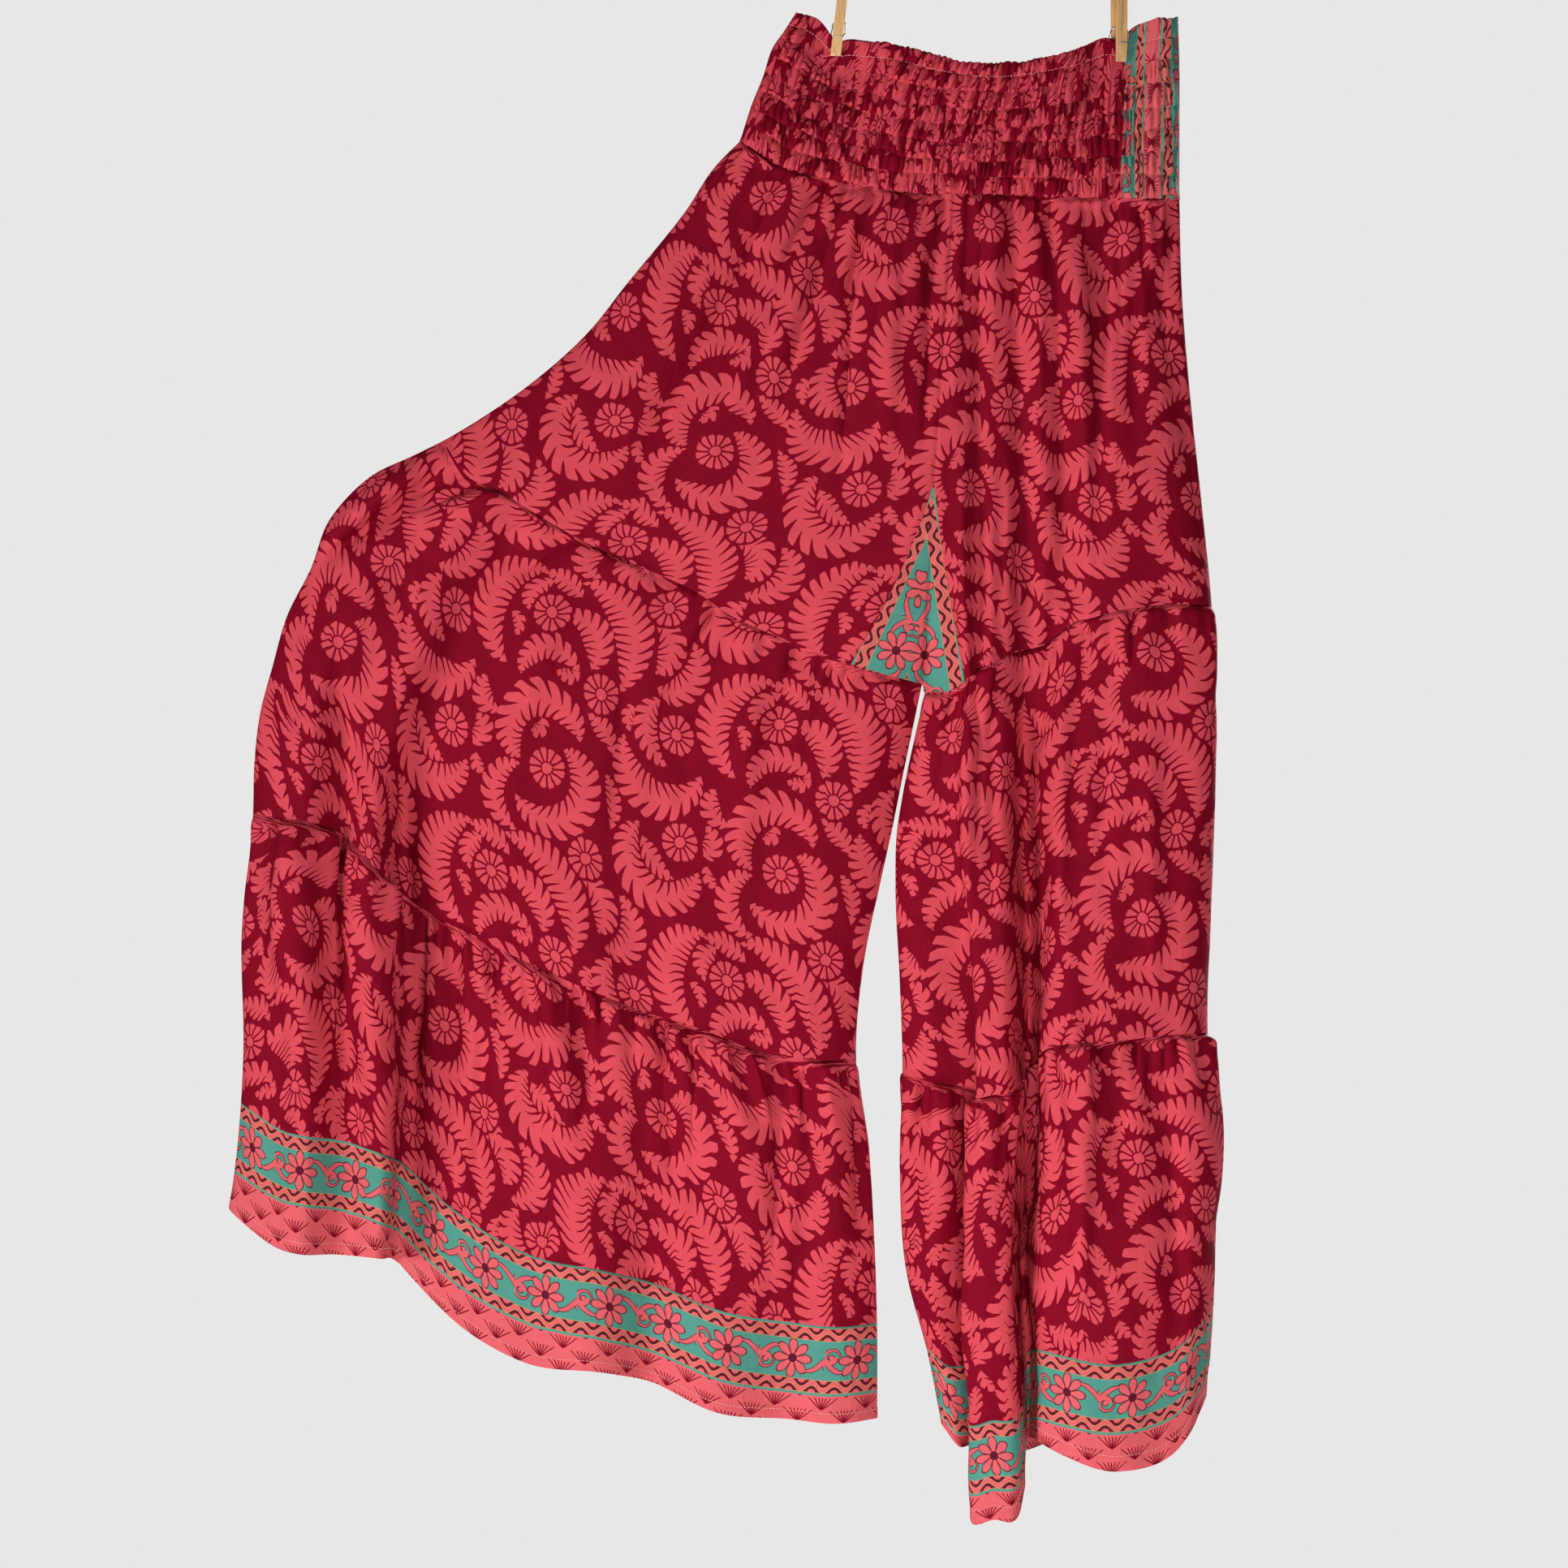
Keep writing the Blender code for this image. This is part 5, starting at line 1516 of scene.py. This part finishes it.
def leafy_print(place):
    """The all-over print: 1 on its fronds and flowers and 0 on the ground."""
    across, down = [tripled(number) for number in parts(place)[:2]]
    fronds = laid_out_fronds()
    reaches = [frond_reach(across, down, fronds[i:i + 3]) for i in range(0, len(fronds), 3)]
    leaves = step(greatest(*parts(greatest(*reaches))) + 0.1)
    nearest = around(place, FLOWERS[0])
    best = length_of(nearest)
    for flower in FLOWERS[1:]:
        from_it = around(place, flower)
        away = length_of(from_it)
        nearest = blend(worked("LESS_THAN", away, best), nearest, from_it)
        best = least(away, best)
    x, y, _ = parts(nearest)
    return greatest(leaves * step(best - FLOWER_CLEAR), flower_mask(best, worked("ARCTAN2", y, x)))


def daisy_parts(x, y):
    """The border's flower: how far inside its round petals and its core a place is."""
    away = distance(x, y)
    p = wrapped(worked("ARCTAN2", y, x) * (DAISY_PETALS / (2 * pi)), 0.5)
    aside = p * away * (2 * pi / DAISY_PETALS)
    ahead = greatest((away - DAISY_STRAIGHT) * 0.62, 0.0)
    room = least(away * (DAISY_HALF_PETAL / DAISY_STRAIGHT), 3.0)
    return room - distance(ahead, aside), DAISY_CORE - away


def vine_reach(x, y):
    """How far inside a curling vine between two flowers a place is.

    Its stem is 2.2 (1 - (x / 15)^2) to each side of y = 8.2 sin(pi x / 26). A branch winds
    round (4.6, -2.6) with d = 4.4 - 0.6 turn, narrowing to its end, about a round leaf.
    """
    stem = 2.2 - x * x * (2.2 / 225) - abs(y - worked("SINE", x * (pi / 26)) * 8.2)
    x, y = x - 4.6, y + 2.6
    turn = worked("ARCTAN2", y, x * -1.0)
    d = distance(x, y)
    branch = turn * 0.3 + 1.15 - abs(d - (4.4 - turn * 0.6))
    return greatest(stem, branch, 1.7 - d)


def spike_reach(across, down):
    """How far inside fans of thin spikes a place is, in rows FAN_ROW apart, every other one
    moved over by half: spikes at even angles from a point at the foot of their row."""
    fall = (down - FANS_FROM) * (1 / FAN_ROW)
    row = worked("FLOOR", fall)
    above = (row - fall) * FAN_ROW + FAN_ROW
    over = wrapped(row * FAN_HALF_PITCH + across, FAN_HALF_PITCH)
    angle = worked("ARCTAN2", over, above)
    away = distance(over, above)
    spike = away * -0.01 + 0.5 - abs(wrapped(angle, SPIKE_HALF_ANGLE) * away)
    return least(spike, (FAN_HALF_ANGLE - abs(angle)) * 4.0)


def border_cloth(name, leaf, ground, teal, vine, outline):
    """The border: a teal band of daisies and vines between two vine stripes, then fans."""
    material = new_material(name)
    place = place_in_cloth(material)
    x, y, _ = parts(place)
    off = y - TEAL_MIDDLE
    middle = abs(off)
    # Fans of the foot, on the leaf colour
    color = blend(step(spike_reach(x, y)), leaf, ground)
    # Teal band and its flowers; the vine between two flowers is turned over after each
    color = blend(step(TEAL_HALF - middle), color, teal)
    petal, core = daisy_parts(wrapped(x, DAISY_HALF_PITCH), off)
    over = x + DAISY_HALF_PITCH
    turned = off * worked("SIGN", wrapped(over, 2 * DAISY_HALF_PITCH))
    motif = greatest(petal, vine_reach(wrapped(over, DAISY_HALF_PITCH), turned))
    for reach, paint in ((motif + MOTIF_OUTLINE, outline), (motif, leaf), (core, outline)):
        color = blend(step(reach), color, paint)
    # Vine stripes: a wave with pale edges on a dark ground, and a bud in each of its bays
    q = middle - STRIPE_OFF
    swing = worked("SINE", x * (2 * pi / STRIPE_PITCH))
    wave = abs(q - swing * STRIPE_SWING)
    stem = blend(step(1.45 - wave), vine, leaf)
    bay = blend(step(q * swing * -1.0 - 1.9), outline, leaf)
    stripe = blend(step(2.05 - wave), bay, stem)
    stripe = blend(step(abs(q) - STRIPE_BARE_HALF), stripe, vine)
    return woven(material, place, blend(step(STRIPE_HALF - abs(q)), color, stripe))


def printed_cloth(name, leaf, ground):
    """The cloth of the hips and tiers: the print's leaves and flowers on its ground."""
    material = new_material(name)
    place = place_in_cloth(material)
    return woven(material, place, blend(leafy_print(place), ground, leaf))


def woven(material, place, color):
    """Finishes a cloth: uneven dye, crosswise ribs of the crepe weave, and a crinkle that
    runs down the cloth in some patches more than in others."""
    patches = clouds(place, 0.045, 3.0, 0.6)
    across = parts(place)[1] * (2 * pi / RIB_PITCH)
    rib = worked("SINE", across + clouds(place, 0.12, 1.0, 0.5) * 9.0)
    yarn = clouds(place * (0.55, 2.6, 0.0), 1.0, 1.0, 0.5)
    crinkle = clouds(place * (0.16, 0.016, 0.0), 1.0, 2.0, 0.6)
    height = rib * 0.35 + yarn + crinkle * (patches * 16.0 - 3.0)
    return finished(material, shaded(color, patches * 0.24 + 0.88), 0.72, height, 0.3, 0.0006,
                    Specular_IOR_Level=0.05, Sheen_Weight=0.01, Sheen_Roughness=0.4,
                    Sheen_Tint=(1.0, 0.25, 0.3, 1.0))


def peg_wood(name, light, dark):
    """Plain pale wood: long wavering grain down the peg, fine pores and a slight wear."""
    material = new_material(name)
    at = place_in_object(material)
    grain = clouds(at * (900.0, 700.0, 38.0), 1.0, 3.0, 0.55)
    pit = clamped(clouds(at * (3800.0, 3800.0, 210.0), 1.0, 1.0, 0.5), 3.0, -1.75)
    color = blend(clamped(grain, 2.4, -0.75), light, dark)
    color = blend(pit * 0.45, color, dark)
    return finished(material, color, grain * 0.2 + 0.45, grain * 0.5 - pit, 0.35, 0.0002)


def spring_steel(name, color):
    """Drawn wire: bright metal with faint streaks and a duller film in places."""
    material = new_material(name)
    at = place_in_object(material)
    film = clouds(at, 420.0, 2.0, 0.6)
    return finished(material, shaded(color, film * 0.4 + 0.78), film * 0.3 + 0.2,
                    clouds(at, 3200.0, 1.0, 0.5), 0.15, 0.0001, Metallic=1.0)


def sewing_thread(name, color):
    """Twisted thread: fine slanting strands and a slightly uneven dye."""
    material = new_material(name)
    at = place_in_object(material)
    x, _, z = parts(at)
    strands = worked("SINE", x * (2 * pi / 0.0007) + z * (2 * pi / 0.0009))
    dye = clouds(at, 160.0, 2.0, 0.5)
    return finished(material, shaded(color, dye * 0.4 + 0.78), dye * 0.1 + 0.7, strands, 0.3, 0.0001)


def studio_floor(name, color):
    """A pale matt floor with a barely uneven tone."""
    material = new_material(name)
    tone = clouds(place_in_object(material), 3.0, 2.0, 0.5)
    return finished(material, shaded(color, tone * 0.04 + 0.98), tone * 0.05 + 0.88)


def length_setting(name, description, default):
    """A setting in metres."""
    return FloatProperty(name=name, description=description, default=default, min=0.0,
                         precision=5, unit="LENGTH")


def share_setting(name, description, default, most=2.0):
    """A setting that is a share."""
    return FloatProperty(name=name, description=description, default=default, min=0.0,
                         max=most, subtype="FACTOR")


def color_setting(name, description, default):
    """A setting that is a colour."""
    return FloatVectorProperty(name=name, description=description, default=(*default, 1.0),
                               size=4, min=0.0, max=1.0, subtype="COLOR")


class ClothSettings(PropertyGroup):
    """Sizes of the cloth shells and how strongly they are gathered and creased."""

    front_step: length_setting("Front step", "Step of the grid across a front", 0.0019)
    back_step: length_setting("Back step", "Step of the grid across a back", 0.0031)
    band_step: length_setting("Waistband step", "Step of the grid across the waistband", 0.00098)
    thickness: length_setting("Cloth thickness", "Thickness of the cloth", 0.0005)
    hem_thickness: length_setting("Hem thickness", "Thickness of the turned hem", 0.0009)
    hem_depth: length_setting("Hem depth", "Depth of the turned hem", 0.009)
    gathers: share_setting("Gathers", "How deep the gathers below the seams are", 1.3)
    creases: share_setting("Creases", "How deep the creases of the cloth are", 1.8)


class PrintSettings(PropertyGroup):
    """Colours of the all-over print and of the border."""

    leaf: color_setting("Leaves", "Leaves and flowers of the print", (0.60, 0.062, 0.085))
    ground: color_setting("Ground", "Ground of the print", (0.195, 0.001, 0.014))
    edge: color_setting("Border", "Flowers and fans of the border", (0.66, 0.105, 0.12))
    teal: color_setting("Teal", "Band of the border", (0.075, 0.27, 0.215))
    vine: color_setting("Vine", "Edges of the vine stripes", (0.50, 0.24, 0.10))
    outline: color_setting("Outlines", "Outlines and ground of the vine stripes", (0.10, 0.008, 0.02))


class SewingSettings(PropertyGroup):
    """Visible stitches."""

    pitch: length_setting("Stitch pitch", "Step from stitch to stitch", 0.0027)
    stitch: length_setting("Stitch length", "Length of one stitch", 0.0019)
    thread: length_setting("Thread", "Thickness of the thread", 0.0006)
    color: color_setting("Thread colour", "Colour of the thread", (0.74, 0.36, 0.33))


class PegSettings(PropertyGroup):
    """Finish of the two clothes pegs."""

    light_wood: color_setting("Light wood", "Wood between the grain lines", (0.88, 0.55, 0.25))
    dark_wood: color_setting("Dark wood", "Grain lines and pores", (0.52, 0.27, 0.09))
    wire: color_setting("Wire", "Colour of the spring wire", (0.56, 0.56, 0.57))
    rounding: length_setting("Rounding", "Rounding of the wooden edges", 0.00035)


class StudioSettings(PropertyGroup):
    """Light and camera."""

    background: share_setting("Background", "Brightness of the backdrop", 0.80, 1.0)
    ambient: share_setting("Ambient", "Brightness of the light from all round", 0.08)
    power: FloatProperty(name="Power", description="Power of the key light", default=90.0,
                         min=0.0, unit="POWER")
    distance: length_setting("Camera distance", "From the camera to the trousers", 4.5)


# Studio, in metres: the floor, the camera, what the lamps are aimed at, and for each lamp its
# place, its size and its power as a share of the key light's
FLOOR_HEIGHT = -1.35
FLOOR_HALF = 2.0
FLOOR_TONE = 0.8
SENSOR = 36.0
LENS = 144.6
VIEW_X = -0.1386
VIEW_Z = -0.5313
AIM = (-0.14, 0, -0.53)
LAMPS = [
    ("key light", (-3.2, -2.2, -0.75), 1.0, 1.0),
    ("fill light", (0.0, -1.4, -1.08), 0.8, 0.1778),
    ("back light", (1.5, 2.2, 0.3), 1.2, 0.95),
    ("top light", (0.1, -0.2, 2.4), 2.2, 0.18),
]

# Where the gusset and the side panel lie in the border cloth; how much more cloth, across and
# down, a sheet of the waistband is printed with than it takes up; the gusset's step, and
# that of the waistband's back as a multiple of its front's. How much more cloth, across and
# down, a sheet of the waistband is printed with than it is said to have
GUSSET_SHIFT = (28.0, 0.0)
SIDE_SHIFT = (9.0, 24.0)
SIDE_TAKEN_UP = (1.0, 0.55)
BAND_TAKEN_UP = (BAND_FULLNESS / 1.15, 1.0)
GUSSET_STEP = 2.0
BACK_BAND_STEP = 1.4
# The turned hem: how far it stands out, the groove at its stitches, and their place above it
HEM_OUT = 0.3
HEM_GROOVE = 0.35
HEM_GROOVE_REACH = 0.9
HEM_STITCHES_IN = 0.6
HEM_SOFT = 0.8
# Edges of the pegs that bend by more than this are rounded, in degrees
ROUNDED_FROM = 28


def finish_named(name, make, *colors):
    """A finish by name, made when it is first asked for."""
    return bpy.data.materials.get(name) or make(name, *colors)


def print_finish(context):
    """The printed cloth, in the colours that are set."""
    colors = context.scene.trouser_print
    return finish_named("leafy print cloth", printed_cloth, colors.leaf, colors.ground)


def border_finish(context):
    """The border cloth, in the colours that are set."""
    colors = context.scene.trouser_print
    return finish_named("border cloth", border_cloth, colors.edge, colors.ground, colors.teal,
                        colors.vine, colors.outline)


def panels(cloth):
    """Every leg, side, word for the side and grid step of the panels, in order."""
    steps = ((-1, "front", cloth.front_step), (1, "back", cloth.back_step))
    return [(leg, side, word, step / MM) for side, word, step in steps for leg in (SPREAD, HANGING)]


def moved_in_print(name, cloth):
    """A panel that was cut from its own place in the print."""
    return cloth._replace(place=cloth.place + print_offset(name))


def sewn_row(name, panel, row, context):
    """A row of stitches along one row of a panel's points."""
    sewing = context.scene.trouser_sewing
    thread = finish_named("sewing thread", sewing_thread, sewing.color)
    ends = stitches_along(panel.points[row], panel.out[row], sewing.pitch / MM, sewing.stitch / MM,
                          STITCH_LIFT)
    return show(name, stitch_mesh(name, *ends, sewing.thread / MM), thread)


class TROUSERS_OT_hips(Operator):
    """Makes the first tier: the front and back of both hips, gathered into the waistband"""

    bl_idname = "trousers.hips"
    bl_label = "Hips"

    def execute(self, context):
        cloth = context.scene.trouser_cloth
        for leg, side, word, step in panels(cloth):
            node = f"{leg.name}_leg_tier_1_{word}"
            panel = hip_cloth(leg, side, step, (cloth.gathers, cloth.creases))
            panel = moved_in_print("hips_" + word, panel)
            cloth_piece(node, panel, side, cloth.thickness / MM, print_finish(context), "printed_cloth")
        return {"FINISHED"}


class TROUSERS_OT_tiers(Operator):
    """Makes the second tier and the printed part of the third, front and back of both legs"""

    bl_idname = "trousers.tiers"
    bl_label = "Tiers"

    def execute(self, context):
        cloth = context.scene.trouser_cloth
        for leg, side, word, step in panels(cloth):
            for level, end in ((1, 1.0), (2, BORDER)):
                node = f"{leg.name}_leg_tier_{level + 1}_{word}"
                panel = tier_cloth(leg, side, level, 0.0, end, step, (cloth.gathers, cloth.creases))
                panel = moved_in_print(node, panel)
                cloth_piece(node, panel, side, cloth.thickness / MM, print_finish(context),
                            "printed_cloth")
        return {"FINISHED"}


class TROUSERS_OT_borders(Operator):
    """Makes the borders with their turned and stitched hems"""

    bl_idname = "trousers.borders"
    bl_label = "Borders and hems"

    def execute(self, context):
        cloth = context.scene.trouser_cloth
        thin, deep = cloth.thickness / MM, cloth.hem_depth / MM
        for leg, side, word, step in panels(cloth):
            node = f"{leg.name}_leg_border_{word}"
            panel = tier_cloth(leg, side, 2, BORDER, 1.0, step, (cloth.gathers, cloth.creases))
            down = lengths(panel.points, 0)
            left = down[-1:] - down
            in_hem = 1 - ease(left, deep - HEM_SOFT, deep + HEM_SOFT)
            raised = HEM_OUT * in_hem - HEM_GROOVE * bump(left, deep - HEM_STITCHES_IN, HEM_GROOVE_REACH)
            panel = panel._replace(points=panel.points + raised[..., None] * panel.out)
            row = int(np.argmin(np.abs(left.mean(axis=1) - deep + HEM_STITCHES_IN)))
            thick = thin + (cloth.hem_thickness / MM - thin) * in_hem
            stitches = sewn_row(f"{leg.name}_hem_stitches_{word}", panel, row, context)
            cloth_piece(node, panel, side, thick, border_finish(context), "border_cloth")
        return {"FINISHED"}


class TROUSERS_OT_gusset(Operator):
    """Makes the front and back of the gusset between the legs"""

    bl_idname = "trousers.gusset"
    bl_label = "Gusset"

    def execute(self, context):
        cloth = context.scene.trouser_cloth
        for side, word in ((-1, "front"), (1, "back")):
            panel = gusset_cloth(side, GUSSET_STEP)
            panel = panel._replace(place=panel.place + GUSSET_SHIFT)
            cloth_piece(f"gusset_{word}", panel, side, cloth.thickness / MM, border_finish(context),
                        "border_cloth")
        return {"FINISHED"}


class TROUSERS_OT_waistband(Operator):
    """Makes the smocked waistband and the stitches under its casing"""

    bl_idname = "trousers.waistband"
    bl_label = "Waistband"

    def execute(self, context):
        cloth = context.scene.trouser_cloth
        step = cloth.band_step / MM
        parts = (
            ("waistband_front", -1, 0.0, BAND_SIDE_SHARE, step),
            ("waistband_side", -1, BAND_SIDE_SHARE, 1.0, step),
            ("waistband_back", 1, 0.0, 1.0, BACK_BAND_STEP * step),
        )
        for node, side, low, high, step in parts:
            fullness = SIDE_FULLNESS if node == "waistband_side" else BAND_FULLNESS
            pleats = FRONT_PUCKERS if side < 0 else BACK_PUCKERS
            panel = band_cloth(side, low, high, pleats, step, fullness)
            stitches = sewn_row(node + "_stitches", panel, round(BAND_ROWS * CASING_SHARE), context)
            if node == "waistband_side":
                across = panel.place[..., 0] - panel.place[:, :1, 0]
                mirrored = np.minimum(across, across.max() - across)
                place = np.stack([panel.place[..., 1], mirrored], axis=2) + SIDE_SHIFT
                panel = panel._replace(place=place)
                finish, slot, taken_up = border_finish(context), "border_cloth", SIDE_TAKEN_UP
            else:
                panel = moved_in_print(node, panel)
                finish, slot, taken_up = print_finish(context), "printed_cloth", BAND_TAKEN_UP
            cloth_piece(node, panel, side, cloth.thickness / MM, finish, slot, taken_up)
        return {"FINISHED"}


class TROUSERS_OT_pegs(Operator):
    """Makes the two wooden clothes pegs and their wire springs"""

    bl_idname = "trousers.pegs"
    bl_label = "Clothes pegs"

    def execute(self, context):
        pegs = context.scene.trouser_pegs
        wood = finish_named("peg wood", peg_wood, pegs.light_wood, pegs.dark_wood)
        steel = finish_named("spring steel", spring_steel, pegs.wire)
        for peg in PEGS:
            for side, word in ((-1, "front"), (1, "back")):
                node = f"{peg.name}_peg_{word}"
                leg = show(node + "_wood", peg_leg_mesh(peg, side, node), wood, "peg_wood", [node])
                bevel = leg.modifiers.new("rounding", "BEVEL")
                bevel.width, bevel.segments, bevel.limit_method = pegs.rounding, 3, "ANGLE"
                bevel.angle_limit = radians(ROUNDED_FROM)
            node = f"{peg.name}_peg_spring"
            show(node + "_wire", spring_mesh(peg, node), steel, "spring_steel", [node])
        return {"FINISHED"}


class TROUSERS_OT_studio(Operator):
    """Sets up the pale floor, the soft lights and the camera"""

    bl_idname = "trousers.studio"
    bl_label = "Studio"

    def execute(self, context):
        scene, studio = context.scene, context.scene.trouser_studio
        scene.view_settings.view_transform = "Standard"
        self.make_world(scene, studio)
        mesh = bpy.data.meshes.new("floor")
        corners = [(x * FLOOR_HALF, y * FLOOR_HALF, FLOOR_HEIGHT)
                   for x, y in ((-1, -1), (1, -1), (1, 1), (-1, 1))]
        mesh.from_pydata(corners, [], [(0, 1, 2, 3)])
        mesh.materials.append(studio_floor("pale floor", (FLOOR_TONE,) * 3))
        floor = bpy.data.objects.new("floor", mesh)
        scene.collection.objects.link(floor)
        for name, place, size, share in LAMPS:
            self.add_lamp(scene, name, place, size, share * studio.power)
        camera = bpy.data.cameras.new("camera")
        camera.sensor_width, camera.lens = SENSOR, LENS
        view = bpy.data.objects.new("camera", camera)
        view.location = (VIEW_X, -studio.distance, VIEW_Z)
        view.rotation_euler = (pi / 2, 0, 0)
        scene.collection.objects.link(view)
        scene.camera = view
        return {"FINISHED"}

    def make_world(self, scene, studio):
        """A plain pale backdrop that lights the cloth more softly than it shows."""
        scene.world = bpy.data.worlds.new("studio")
        scene.world.use_nodes = True
        tree = scene.world.node_tree
        tree.nodes.clear()
        path = tree.nodes.new("ShaderNodeLightPath")
        lit, seen = [add_node(tree, "ShaderNodeBackground", [(tone, tone, tone, 1.0)]).outputs[0]
                     for tone in (studio.ambient, studio.background)]
        inputs = [Value(tree, socket) for socket in (path.outputs["Is Camera Ray"], lit, seen)]
        both = add_node(tree, "ShaderNodeMixShader", inputs)
        add_node(tree, "ShaderNodeOutputWorld", [Value(tree, both.outputs[0])])

    def add_lamp(self, scene, name, place, size, power):
        """A square soft light aimed at the middle of the trousers."""
        light = bpy.data.lights.new(name, "AREA")
        light.size, light.energy = size, power
        lamp = bpy.data.objects.new(name, light)
        lamp.location = place
        aim = Vector(AIM) - Vector(place)
        lamp.rotation_euler = aim.to_track_quat("-Z", "Y").to_euler()
        scene.collection.objects.link(lamp)


PIECES = (TROUSERS_OT_waistband, TROUSERS_OT_hips, TROUSERS_OT_gusset, TROUSERS_OT_tiers,
          TROUSERS_OT_borders, TROUSERS_OT_pegs, TROUSERS_OT_studio)
SETTINGS = {"trouser_cloth": ClothSettings, "trouser_print": PrintSettings,
            "trouser_sewing": SewingSettings, "trouser_pegs": PegSettings,
            "trouser_studio": StudioSettings}


class TROUSERS_PT_panel(Panel):
    """Lists the settings and the operators of the trousers."""

    bl_label = "Trousers"
    bl_space_type = "VIEW_3D"
    bl_region_type = "UI"
    bl_category = "Trousers"

    def draw(self, context):
        for key in SETTINGS:
            group = getattr(context.scene, key)
            box = self.layout.box()
            for name in group.__annotations__:
                box.prop(group, name)
        for piece in PIECES:
            self.layout.operator(piece.bl_idname)


def register():
    """Makes the settings, the operators and the panel known to Blender."""
    for made in (*SETTINGS.values(), *PIECES, TROUSERS_PT_panel):
        bpy.utils.register_class(made)
    for key, group in SETTINGS.items():
        setattr(bpy.types.Scene, key, PointerProperty(type=group))


def unregister():
    """Takes away what register() made."""
    for key in SETTINGS:
        delattr(bpy.types.Scene, key)
    for made in (TROUSERS_PT_panel, *reversed(PIECES), *reversed(SETTINGS.values())):
        bpy.utils.unregister_class(made)


def main():
    """Builds every piece and the studio."""
    register()
    for piece in PIECES:
        group, name = piece.bl_idname.split(".")
        getattr(getattr(bpy.ops, group), name)()
    bpy.context.view_layer.update()


if __name__ == "__main__":
    main()
